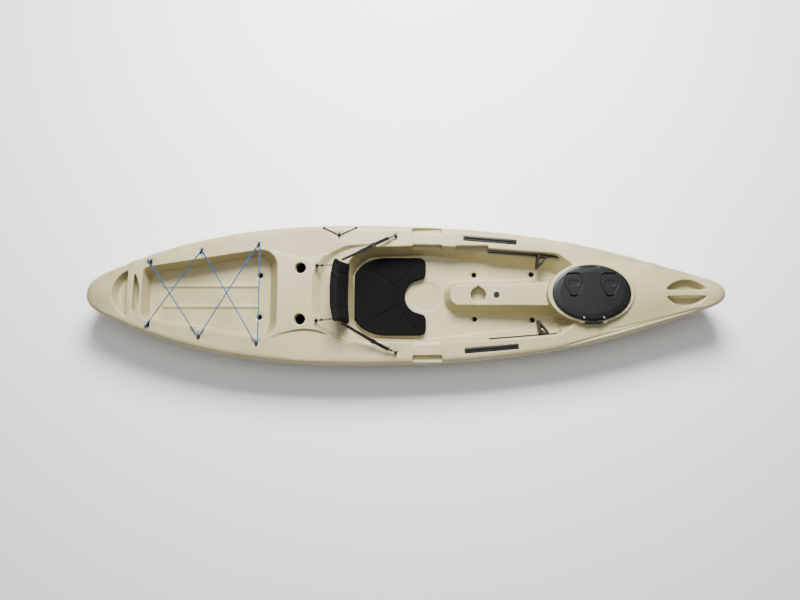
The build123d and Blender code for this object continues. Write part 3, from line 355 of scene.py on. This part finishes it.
def hollow_faces(mesh):
    """Faces of the hull's hollow, reached from the walls of the hatch opening."""
    reached = {f for f in mesh.faces if all(on_opening(v.co) and v.co.z > 0.27 for v in f.verts)}
    waiting = list(reached)
    while waiting:
        face = waiting.pop()
        for edge in face.edges:
            if rim_edge(edge):
                continue
            for beside in edge.link_faces:
                if beside not in reached:
                    reached.add(beside)
                    waiting.append(beside)
    return reached


def split_hull():
    """The hull's outer skin, closed over its openings, and the walls of its hollow."""
    skin = cad_copy("hull", "hull_shell")
    inside = bpy.data.objects.new("hull_inside", skin.data.copy())
    bpy.context.scene.collection.objects.link(inside)
    for obj, keep_hollow in ((skin, False), (inside, True)):
        mesh = bmesh.new()
        mesh.from_mesh(obj.data)
        hollow = hollow_faces(mesh)
        gone = [f for f in mesh.faces if (f in hollow) != keep_hollow]
        bmesh.ops.delete(mesh, geom=gone, context="FACES")
        if not keep_hollow:
            rims = [e for e in mesh.edges if e.is_boundary]
            bmesh.ops.holes_fill(mesh, edges=rims, sides=0)
            bmesh.ops.triangulate(mesh, faces=[f for f in mesh.faces if len(f.verts) > 4])
        mesh.to_mesh(obj.data)
        mesh.free()
    return skin, inside


def cylinder(name, radius, depth, place, vertices=64, scale=(1, 1, 1), rotation=(0, 0, 0)):
    only()
    bpy.ops.mesh.primitive_cylinder_add(
        radius=radius, depth=depth, location=place, vertices=vertices, scale=scale, rotation=rotation
    )
    made = bpy.context.object
    made.name = name
    return made


# crease lines: start and end in plan, half width and depth; each is on both sides of the hull
GROOVES = (
    ((0.309, 0.3287), (0.343, 0.3258), 0.006, 0.003), ((0.644, 0.3002), (0.678, 0.2973), 0.006, 0.003),
    ((1.143, 0.214), (1.70, 0.085), 0.008, 0.004), ((0.90, 0.300), (1.70, 0.078), 0.008, 0.005),
)
# rod holders: place in plan and half width of the zone that takes the painted shade
RODS = (-0.596, 0.147, 0.036)
# heights between which the walls of the rod holders and scuppers get painted shade
ROD_DARK = (0.06, 0.262)
SCUPPER_DARK = (0.01, 0.162)
# tops of the painted shade on the walls of the scuppers in the tankwell and in the seat well
TANK_DARK_TOP = 0.158
WELL_DARK_TOP = 0.121
# how far a rod holder leans forward for each metre that it goes down
ROD_LEAN = 0.22
# scupper holes: how far their walls reach from the middle, and their places in plan
SCUPPER_REACH = 0.0172
SCUPPERS = ((-0.846, 0.123), (-0.280, 0.129), (0.411, 0.131), (0.750, 0.135))


def sink_grooves(obj):
    """Presses the moulded crease lines into the top and flanks of the hull."""
    count = len(obj.data.vertices)
    place = np.empty(count * 3)
    facing = np.empty(count * 3)
    obj.data.vertices.foreach_get("co", place)
    obj.data.vertices.foreach_get("normal", facing)
    place = place.reshape(-1, 3)
    facing = facing.reshape(-1, 3)
    sink = np.zeros(count)
    for start, end, half_width, depth in GROOVES:
        a = np.array(start)
        along = np.array(end) - a
        plan = np.stack([place[:, 0], np.abs(place[:, 1])], axis=1) - a
        share = np.clip(plan @ along / (along @ along), 0, 1)
        away = np.linalg.norm(plan - share[:, None] * along, axis=1)
        fade = np.clip(np.minimum(share, 1 - share) * np.linalg.norm(along) / 0.06, 0.15, 1)
        profile = np.clip(1 - (away / half_width) ** 2, 0, 1)
        sink = np.maximum(sink, depth * fade * profile * (facing[:, 2] > 0.05) * (place[:, 2] > 0.2))
    obj.data.vertices.foreach_set("co", (place - facing * sink[:, None]).ravel())
    obj.data.update()


# the gunwale is averaged at this step, over this many steps each way, weighted by this spread
FAIR_STEP = 0.01
FAIR_REACH = 24
FAIR_SPREAD = 10.0


def fair_sides(obj):
    """Draws the gunwales into one fair curve from stern to bow."""
    count = len(obj.data.vertices)
    place = np.empty(count * 3)
    obj.data.vertices.foreach_get("co", place)
    place = place.reshape(-1, 3)
    bins = np.rint((place[:, 0] + 1.9) / FAIR_STEP).astype(int)
    half = np.zeros(bins.max() + 2)
    np.maximum.at(half, bins, np.abs(place[:, 1]))
    reach = np.arange(-FAIR_REACH, FAIR_REACH + 1)
    weights = np.exp(-0.5 * (reach / FAIR_SPREAD) ** 2)
    filled = np.pad(half, FAIR_REACH, mode="edge")
    fair = np.convolve(filled, weights / weights.sum(), mode="valid")
    shift = fair - half
    fade = np.clip((1.74 - np.abs(place[:, 0])) / 0.12, 0, 1)
    width = np.maximum(half[bins], 0.01)
    outward = np.clip((np.abs(place[:, 1]) / width - 0.72) / 0.2, 0, 1)
    place[:, 1] += np.sign(place[:, 1]) * shift[bins] * fade * outward
    obj.data.vertices.foreach_set("co", place.ravel())
    obj.data.update()


def paint_tube_shade(obj):
    """Paints shade on the walls of the rod holders and scupper holes: a dark material that stands in for the
    shade deep inside them.
    """
    obj.data.materials.append(MATERIALS["tube"])
    for face in obj.data.polygons:
        x, y, z = face.center
        lean = ROD_LEAN * max(0.0, 0.28 - z)
        beside_rod = abs(x - RODS[0]) < RODS[2] + lean and abs(abs(y) - RODS[1]) < RODS[2]
        dark = beside_rod and ROD_DARK[0] < z < ROD_DARK[1]
        if not dark and SCUPPER_DARK[0] < z < SCUPPER_DARK[1] and abs(face.normal.z) < 0.6:
            dark = any(
                (x - sx) ** 2 + (abs(y) - sy) ** 2 < SCUPPER_REACH ** 2
                and z < (TANK_DARK_TOP if sx < -0.5 else WELL_DARK_TOP)
                for sx, sy in SCUPPERS
            )
        # painted shade: these faces take the dark tube material in place of the shade deep in the hole
        if dark:
            face.material_index = 1


def soften_ends(skin, rounds):
    """Rounds the bow and stern tips further than the rest of the skin."""
    ends = skin.vertex_groups.new(name="ends")
    for vertex in skin.data.vertices:
        weight = min(1.0, max(0.0, (abs(vertex.co.x) - 1.70) / 0.06))
        if weight:
            ends.add([vertex.index], weight, "REPLACE")
    apply(skin, "SMOOTH", factor=0.5, iterations=rounds, vertex_group="ends")
    skin.vertex_groups.clear()


def cut_openings(skin):
    """Opens the hatch and the plug hole through the skin, without the floors that the cut leaves."""
    cutters = [
        cylinder("hatch_cut", 1, 0.03, (HATCH_X, 0, HATCH_TOP + 0.004), 96, (OPENING[0], OPENING[1], 1)),
        cylinder("plug_cut", PLUG[1], 0.03, (PLUG[0], 0, PLUG[2] + 0.008), 48),
    ]
    cutter = join(cutters, "opening_cut")
    apply(skin, "BOOLEAN", operation="DIFFERENCE", object=cutter, solver="EXACT")
    bpy.data.objects.remove(cutter)
    mesh = bmesh.new()
    mesh.from_mesh(skin.data)
    floors = []
    for face in mesh.faces:
        middle = face.calc_center_median()
        if abs(face.normal.z) > 0.99:
            reach = ((middle.x - HATCH_X) / OPENING[0]) ** 2 + (middle.y / OPENING[1]) ** 2
            hatch = reach < 0.99 and abs(middle.z - HATCH_TOP + 0.011) < 1e-3
            near = sqrt((middle.x - PLUG[0]) ** 2 + middle.y ** 2) < PLUG[1]
            if hatch or (near and abs(middle.z - PLUG[2] + 0.007) < 1e-3):
                floors.append(face)
    bmesh.ops.delete(mesh, geom=floors, context="FACES")
    mesh.to_mesh(skin.data)
    mesh.free()


class KAYAK_OT_hull(Operator):
    """Rotomoulded hull: its outer skin with soft edges and crease lines, and its hollow"""
    bl_idname = "kayak.hull"
    bl_label = "Hull"

    def execute(self, context):
        sizes = context.scene.kayak
        skin, inside = split_hull()
        soften(skin, sizes.hull_grain_mm, sizes.hull_rounds, WHOLE)
        soften_ends(skin, sizes.end_rounds)
        fair_sides(skin)
        sink_grooves(skin)
        thin(skin, SKIN_TRIANGLES)
        cut_openings(skin)
        only(skin)
        bpy.ops.object.shade_smooth_by_angle(angle=radians(50))
        only(inside)
        bpy.ops.object.shade_smooth_by_angle(angle=radians(40))
        for piece in (skin, inside):
            dress(piece, MATERIALS["polyethylene"])
            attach(piece, "hull")
        # painted shade on the walls deep in the rod holders and scupper holes
        paint_tube_shade(skin)
        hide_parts("hull")
        return {"FINISHED"}


# ---------------------------------------------------------------- hatch
class KAYAK_OT_hatch(Operator):
    """Bow hatch: crowned lid, two leaf latches, the hinge, its gasket and its pins"""
    bl_idname = "kayak.hatch"
    bl_label = "Bow Hatch"

    def execute(self, context):
        moulded("hatch_lid", "lid_cover", "hatch_lid", MATERIALS["lid"], 1.7, 4, 150000)
        for end in ("aft", "fore"):
            name = "hatch_latch_" + end
            moulded(name, "latch_" + end, name, MATERIALS["lid"], 0.9, 3, 40000)
        moulded("hatch_hinge_base", "hinge_base", "hull", MATERIALS["nylon"], 0.8, 2, 40000)
        moulded("hatch_hinge_leaf", "hinge_leaf", "hatch_lid", MATERIALS["nylon"], 0.8, 2, 40000)
        for node, finish in (
            ("hatch_gasket", "rubber"), ("hatch_latch_pins", "black screw"), ("hatch_hinge_pin", "steel"),
        ):
            dress(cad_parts[node], MATERIALS[finish])
        return {"FINISHED"}


# ---------------------------------------------------------------- fittings
HEAD_HEIGHT = 2.0 * MM
SCREW_HEAD_R = 3.8 * MM
HINGE_SCREW_HEAD_R = 5.5 * MM
PAD_EYES = ("tankwell_pad_eyes", "rear_seat_pad_eyes", "front_seat_pad_eyes", "paddle_keeper_pad_eye")


def solids_of(node):
    """Low and high corner of each separate solid of a CAD node."""
    cad_copy(node, "scratch")
    bpy.ops.mesh.separate(type="LOOSE")
    found = []
    for piece in list(bpy.context.selected_objects):
        corners = [v.co.copy() for v in piece.data.vertices]
        low = Vector([min(c[i] for c in corners) for i in range(3)])
        high = Vector([max(c[i] for c in corners) for i in range(3)])
        found.append((low, high))
        bpy.data.objects.remove(piece)
    return found


def screw_head(head_r):
    """A pan head, 2 mm high, with a cross recess."""
    head = cylinder("head", head_r, HEAD_HEIGHT, (0, 0, 0), 40)
    bpy.ops.object.mode_set(mode="EDIT")
    bpy.ops.mesh.select_all(action="DESELECT")
    mesh = bmesh.from_edit_mesh(head.data)
    for edge in mesh.edges:
        edge.select = all(v.co.z > 0 for v in edge.verts) and len(edge.link_faces) == 2
    bmesh.update_edit_mesh(head.data)
    bpy.ops.mesh.bevel(offset=1.1 * MM, segments=4)
    bpy.ops.object.mode_set(mode="OBJECT")
    bars = []
    for turn in (0, 90):
        only()
        bpy.ops.mesh.primitive_cube_add(
            size=1, location=(0, 0, 0.6 * MM), scale=(1.15 * head_r, 0.26 * head_r, 1.4 * MM),
            rotation=(0, 0, radians(turn)),
        )
        bars.append(bpy.context.object)
    cross = join(bars, "cross")
    apply(cross, "REMESH", mode="VOXEL", voxel_size=0.12 * MM)
    apply(head, "BOOLEAN", operation="DIFFERENCE", object=cross, solver="EXACT")
    bpy.data.objects.remove(cross)
    thin(head, 900)
    return head


def screw_heads(node, name, body, head_r, finish="steel"):
    """One pan head at the top of each solid of the node."""
    head = screw_head(head_r)
    copies = []
    for low, high in solids_of(node):
        copy = bpy.data.objects.new("screw", head.data.copy())
        bpy.context.scene.collection.objects.link(copy)
        middle = (low + high) / 2
        middle.z = high.z - HEAD_HEIGHT / 2
        copy.data.transform(Matrix.Translation(middle))
        copies.append(copy)
    bpy.data.objects.remove(head)
    made = join(copies, name)
    only(made)
    bpy.ops.object.shade_smooth_by_angle(angle=radians(35))
    dress(made, MATERIALS[finish])
    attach(made, body)
    return made


class KAYAK_OT_fittings(Operator):
    """Pad eyes, screws, gear tracks, foot braces, hooks, bungees and the console plug"""
    bl_idname = "kayak.fittings"
    bl_label = "Fittings"

    def execute(self, context):
        nylon = MATERIALS["nylon"]
        for node in PAD_EYES:
            moulded(node, node.replace("pad_eye", "eye"), "hull", nylon, 0.8, 2, 90000)
        heads = screw_heads("pad_eye_screws", "eye_screw_heads", "hull", SCREW_HEAD_R)
        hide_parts("pad_eye_screws")
        heads = screw_heads("gear_track_screws", "track_screw_heads", "hull", SCREW_HEAD_R, "black screw")
        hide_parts("gear_track_screws")
        heads = screw_heads("hatch_hinge_screws", "hinge_screw_heads", "hatch_lid", HINGE_SCREW_HEAD_R)
        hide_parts("hatch_hinge_screws")
        dress(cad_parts["foot_rail_screws"], MATERIALS["steel"])
        for side in ("port", "starboard"):
            edged("gear_track_" + side, "track_" + side, "hull", MATERIALS["track"], 0.7)
            edged("foot_rail_" + side, "rail_" + side, "hull", nylon, 1.0)
            moulded("foot_pedal_" + side, "pedal_" + side, "foot_pedal_" + side, nylon, 1.2, 3, 60000)
            moulded("pedal_release_" + side, "release_" + side, "pedal_release_" + side, nylon, 0.8, 2, 20000)
            moulded("strap_buckle_" + side, "buckle_" + side, "hull", nylon, 0.5, 2, 20000)
        moulded("console_plug", "plug_cap", "console_plug", MATERIALS["rubber"], 0.7, 3, 20000)
        moulded("paddle_keeper_anchors", "keeper_anchors", "hull", nylon, 0.5, 2, 20000)
        moulded("front_snap_hooks", "front_hooks", "hull", nylon, 0.6, 2, 60000)
        moulded("rear_snap_hooks", "rear_hooks", "hull", nylon, 0.6, 2, 60000)
        for node in ("foam_support_bow", "foam_support_stern"):
            moulded(node, node.replace("_support", ""), "hull", MATERIALS["white foam"], 4.0, 3, 20000)
        for node, finish in (("tankwell_bungee", "blue cord"), ("paddle_keeper_bungee", "black cord")):
            made = cad_copy(node, node.replace("bungee", "sheath"))
            apply(made, "DISPLACE", strength=0.6 * MM, mid_level=0.0)
            only(made)
            bpy.ops.object.shade_smooth()
            dress(made, MATERIALS[finish])
            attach(made, "hull")
            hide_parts(node)
        return {"FINISHED"}


# ---------------------------------------------------------------- seat
# plan lines of the pad's pressed creases, each from one point to another
PAD_CREASES = (
    ((-0.05, -0.06), (-0.05, 0.06)), ((-0.05, 0.06), (0.07, 0.2)), ((-0.05, -0.06), (0.07, -0.2)),
    ((-0.05, 0.06), (-0.2, 0.15)), ((-0.05, -0.06), (-0.2, -0.15)),
)
# the back's cloth run, and how far any point of it may move
PUFF_FRAMES = 16
PUFF_LIMIT = 8 * MM
SEAM_HALF = 8 * MM
SEAM_DEPTH = 1.8 * MM


def crease(point, start, end, width, depth):
    """How far a point sinks into a moulded groove between two plan points."""
    a = Vector(start)
    b = Vector(end)
    p = Vector((point.x, point.y))
    share = max(0.0, min(1.0, (p - a).dot(b - a) / (b - a).length_squared))
    away = (p - (a + (b - a) * share)).length
    return depth * max(0.0, 1 - (away / width) ** 2) if away < width else 0.0


def arc(middle, radii, start, end, steps=14):
    """Plan points round part of an ellipse; the angles are in degrees."""
    turns = [radians(start + (end - start) * i / steps) for i in range(steps + 1)]
    return [(middle[0] + radii[0] * cos(t), middle[1] + radii[1] * sin(t)) for t in turns]


def pad_outline(low, high):
    """Seat pad in plan: broad rounded rear and a U-shaped notch with rounded lips at the front."""
    half = high.y - 1 * MM
    rear = low.x + 1 * MM
    front = high.x - 1 * MM
    notch = arc((0.106, 0), (0.104, 0.104), 180, 118, 14)
    lip = arc((front - 0.034, 0.137), (0.034, 0.034), -60, 0, 6)
    corner = arc((front - 0.038, half - 0.038), (0.038, 0.038), 0, 90, 8)
    back = arc((rear + 0.185, half - 0.125), (0.185, 0.125), 90, 180, 18)
    side = notch + lip + corner + back
    return side + [(x, -y) for x, y in reversed(side[1:])]


def plate(name, outline, bottom, top):
    """A flat plate from its outline in plan."""
    mesh = bmesh.new()
    face = mesh.faces.new([mesh.verts.new((x, y, bottom)) for x, y in outline])
    lifted = bmesh.ops.extrude_face_region(mesh, geom=[face])
    raised = [v for v in lifted["geom"] if isinstance(v, bmesh.types.BMVert)]
    bmesh.ops.translate(mesh, verts=raised, vec=(0, 0, top - bottom))
    bmesh.ops.recalc_face_normals(mesh, faces=mesh.faces)
    data = bpy.data.meshes.new(name)
    mesh.to_mesh(data)
    mesh.free()
    made = bpy.data.objects.new(name, data)
    bpy.context.scene.collection.objects.link(made)
    return made


def ribbon(name, points, width, thick, tilts):
    """Webbing along a smooth line, turned about it by the tilts, which are in degrees."""
    data = bpy.data.curves.new(name, "CURVE")
    data.dimensions = "3D"
    data.twist_mode = "Z_UP"
    data.extrude = (width - thick) / 2
    data.bevel_depth = thick / 2
    data.bevel_resolution = 2
    data.resolution_u = 16
    data.use_fill_caps = True
    line = data.splines.new("NURBS")
    line.points.add(len(points) - 1)
    for point, place, tilt in zip(line.points, points, tilts):
        point.co = (*place, 1)
        point.tilt = radians(tilt)
    line.order_u = 3
    line.use_endpoint_u = True
    made = bpy.data.objects.new(name, data)
    bpy.context.scene.collection.objects.link(made)
    only(made)
    bpy.ops.object.convert(target="MESH")
    made = bpy.context.object
    bpy.ops.object.shade_smooth_by_angle(angle=radians(40))
    return made


def front_strap(side, sign):
    """From the edge of the seat back through its buckle to the snap hook, slack and a little twisted."""
    far = highest("front_strap_port")
    hook = Vector((far.x - 4 * MM, sign * (far.y - 6 * MM), lowest("front_strap_port").z + 2 * MM))
    buckle = Vector((-0.177, sign * 0.275, 0.318))
    edge = Vector((-0.350, sign * 0.176, 0.383))
    slack = [
        edge.lerp(buckle, share) + Vector((0, 0, -drop * MM))
        for share, drop in ((0.2, 7), (0.55, 10), (0.85, 2))
    ]
    route = [edge, *slack, buckle, buckle.lerp(hook, 0.5), hook]
    made = ribbon("front_webbing_" + side, route, 19 * MM, 1.8 * MM, (55, 60, 65, 80, 90, 90, 90))
    dress(made, MATERIALS["webbing"])
    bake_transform(made)
    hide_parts("front_strap_" + side)


def rear_straps():
    """Two narrow straps from the rear hooks up to the back of the seat back."""
    low = lowest("rear_straps")
    bands = []
    for sign in (1, -1):
        hook = Vector((low.x + 3 * MM, sign * 0.1553, low.z + 3 * MM))
        edge = Vector((-0.371, sign * 0.150, 0.371))
        slack = [hook.lerp(edge, share) + Vector((0, 0, -drop * MM)) for share, drop in ((0.3, 2), (0.7, 3))]
        route = [hook, *slack, edge]
        bands.append(ribbon("rear_band", route, 10 * MM, 1.6 * MM, (90, 85, 80, 75)))
    made = join(bands, "rear_webbing")
    dress(made, MATERIALS["grey webbing"])
    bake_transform(made)
    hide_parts("rear_straps")


def foam_seat():
    """The seat pad, with a soft upper edge, pressed creases and a shallow dish."""
    low = lowest("seat_pad")
    high = highest("seat_pad")
    pad = plate("foam_seat", pad_outline(low, high), low.z, high.z)
    only(pad)
    bpy.ops.object.mode_set(mode="EDIT")
    bpy.ops.mesh.select_all(action="DESELECT")
    mesh = bmesh.from_edit_mesh(pad.data)
    for edge in mesh.edges:
        edge.select = all(v.co.z > high.z - 1e-4 for v in edge.verts)
    bmesh.update_edit_mesh(pad.data)
    bpy.ops.mesh.bevel(offset=13 * MM, segments=2, profile=0.6)
    bpy.ops.object.mode_set(mode="OBJECT")
    soften(pad, 4.0, 3, WHOLE)
    for vertex in pad.data.vertices:
        top = (vertex.co.z - low.z) / (high.z - low.z)
        if top > 0.8:
            sink = max(crease(vertex.co, a, b, 9 * MM, 2.6 * MM) for a, b in PAD_CREASES)
            across = max(0.0, 1 - (vertex.co.y / 0.2) ** 2)
            dish = 5 * MM * across * max(0.0, 1 - ((vertex.co.x + 0.12) / 0.16) ** 2)
            vertex.co.z -= (sink + dish) * (top - 0.8) / 0.2
    dress(pad, MATERIALS["foam"])
    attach(pad, "hull")
    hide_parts("seat_pad")


def padded_back(scene):
    """The seat back, puffed out by cloth pressure and drawn in along two seams."""
    back = cad_copy("seat_back", "padded_back")
    apply(back, "REMESH", mode="VOXEL", voxel_size=5 * MM)
    rest = [v.co.copy() for v in back.data.vertices]
    only(back)
    cloth = back.modifiers.new("cloth", "CLOTH")
    cloth.settings.effector_weights.gravity = 0
    cloth.settings.use_pressure = True
    cloth.settings.uniform_pressure_force = 4
    cloth.settings.tension_stiffness = 8
    cloth.settings.compression_stiffness = 8
    for step in range(1, PUFF_FRAMES + 1):
        scene.frame_set(step)
    bpy.ops.object.modifier_apply(modifier=cloth.name)
    scene.frame_set(1)
    for vertex, start in zip(back.data.vertices, rest):
        shift = vertex.co - start
        if shift.length > PUFF_LIMIT:
            vertex.co = start + shift.normalized() * PUFF_LIMIT
    apply(back, "SMOOTH", factor=0.5, iterations=3)
    apply(back, "SUBSURF", levels=1, render_levels=1)
    box_low = lowest("seat_back")
    for vertex in back.data.vertices:
        for seam_y in (-0.095, 0.095):
            away = abs(vertex.co.y - seam_y)
            if away < SEAM_HALF:
                middle_x = box_low.x + (vertex.co.z - box_low.z) * -0.36 + 0.06
                inward = 1 if vertex.co.x < middle_x else -1
                vertex.co.x += inward * SEAM_DEPTH * (1 - (away / SEAM_HALF) ** 2)
    thin(back, 120000)
    only(back)
    bpy.ops.object.shade_smooth()
    dress(back, MATERIALS["padding"])
    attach(back, "seat_back")
    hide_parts("seat_back")


class KAYAK_OT_seat(Operator):
    """Moulded foam seat pad, padded seat back and the straps that hold it"""
    bl_idname = "kayak.seat"
    bl_label = "Seat"

    def execute(self, context):
        foam_seat()
        padded_back(context.scene)
        for side, sign in (("port", 1), ("starboard", -1)):
            front_strap(side, sign)
        rear_straps()
        return {"FINISHED"}


# ---------------------------------------------------------------- stage
# sideways and upward shift of the lens, in picture widths
LENS_SHIFT = (-4.5 / 800, -5.7 / 800)


class KAYAK_OT_stage(Operator):
    """Pale floor, soft studio lights and the camera"""
    bl_idname = "kayak.stage"
    bl_label = "Stage"

    def execute(self, context):
        sizes = context.scene.kayak
        only()
        bpy.ops.mesh.primitive_plane_add(size=40, location=(0, 0, -1 * MM))
        floor = bpy.context.object
        floor.name = "floor"
        made, tree = new_material("studio paper")
        finish_material(tree, linear("ffffff"), 0.9)
        dress(floor, made)

        world = bpy.data.worlds.new("studio")
        context.scene.world = world
        world.use_nodes = True
        world.node_tree.nodes["Background"].inputs["Color"].default_value = (1, 1, 1, 1)
        world.node_tree.nodes["Background"].inputs["Strength"].default_value = sizes.fill_light
        for name, place, size, power in (
            ("key", (0.1, 3.0, 3.6), (2.4, 1.8), sizes.key_light),
            ("top", (-0.4, 0.4, 5.0), (3.0, 3.0), sizes.key_light * 0.12),
        ):
            data = bpy.data.lights.new(name, "AREA")
            data.shape = "RECTANGLE"
            data.size, data.size_y = size
            data.energy = power
            lamp = bpy.data.objects.new(name, data)
            context.scene.collection.objects.link(lamp)
            lamp.location = place
            lamp.rotation_euler = (Vector((0, 0, 0.2)) - Vector(place)).to_track_quat("-Z", "Y").to_euler()

        data = bpy.data.cameras.new("camera")
        camera = bpy.data.objects.new("camera", data)
        context.scene.collection.objects.link(camera)
        data.sensor_width = 36.0
        data.lens = sizes.lens_mm
        data.clip_end = 100
        data.shift_x, data.shift_y = LENS_SHIFT
        rise = radians(sizes.camera_rise)
        camera.location = (0, -sizes.camera_away * cos(rise), 0.25 + sizes.camera_away * sin(rise))
        camera.rotation_euler = (pi / 2 - rise, 0, 0)
        context.scene.camera = camera
        return {"FINISHED"}


# ---------------------------------------------------------------- add-on
class KayakSizes(PropertyGroup):
    hull_grain_mm: FloatProperty(
        name="Hull grain", description="Face size of the hull's skin in mm", default=4.0
    )
    hull_rounds: IntProperty(
        name="Edge softness", description="Smoothing rounds on the hull's edges", default=3
    )
    end_rounds: IntProperty(
        name="End softness", description="Smoothing rounds on bow and stern tips", default=120
    )
    key_light: FloatProperty(
        name="Key light", description="Power of the key light", default=740.0, unit="POWER"
    )
    fill_light: FloatProperty(
        name="Fill light", description="Strength of the surrounding light", default=0.19
    )
    lens_mm: FloatProperty(name="Lens", description="Focal length in mm", default=33.8)
    camera_rise: FloatProperty(
        name="Camera rise", description="Camera's angle above the horizon in degrees", default=82.0
    )
    camera_away: FloatProperty(
        name="Camera distance", description="Camera to object", default=4.307, unit="LENGTH"
    )


OPERATORS = (KAYAK_OT_hull, KAYAK_OT_hatch, KAYAK_OT_fittings, KAYAK_OT_seat, KAYAK_OT_stage)


class KAYAK_PT_panel(Panel):
    """Lists the kayak's pieces in the sidebar"""
    bl_idname = "KAYAK_PT_panel"
    bl_label = "Kayak"
    bl_space_type = "VIEW_3D"
    bl_region_type = "UI"
    bl_category = "Kayak"

    def draw(self, context):
        for name in KayakSizes.__annotations__:
            self.layout.prop(context.scene.kayak, name)
        for operator in OPERATORS:
            self.layout.operator(operator.bl_idname)


CLASSES = (KayakSizes, *OPERATORS, KAYAK_PT_panel)
MATERIALS = {}


def register():
    for each in CLASSES:
        bpy.utils.register_class(each)
    bpy.types.Scene.kayak = PointerProperty(type=KayakSizes)


def unregister():
    del bpy.types.Scene.kayak
    for each in reversed(CLASSES):
        bpy.utils.unregister_class(each)


def main():
    register()
    MATERIALS.update(make_materials())
    bpy.ops.kayak.hull()
    bpy.ops.kayak.hatch()
    bpy.ops.kayak.fittings()
    bpy.ops.kayak.seat()
    bpy.ops.kayak.stage()


if __name__ == "__main__":
    main()
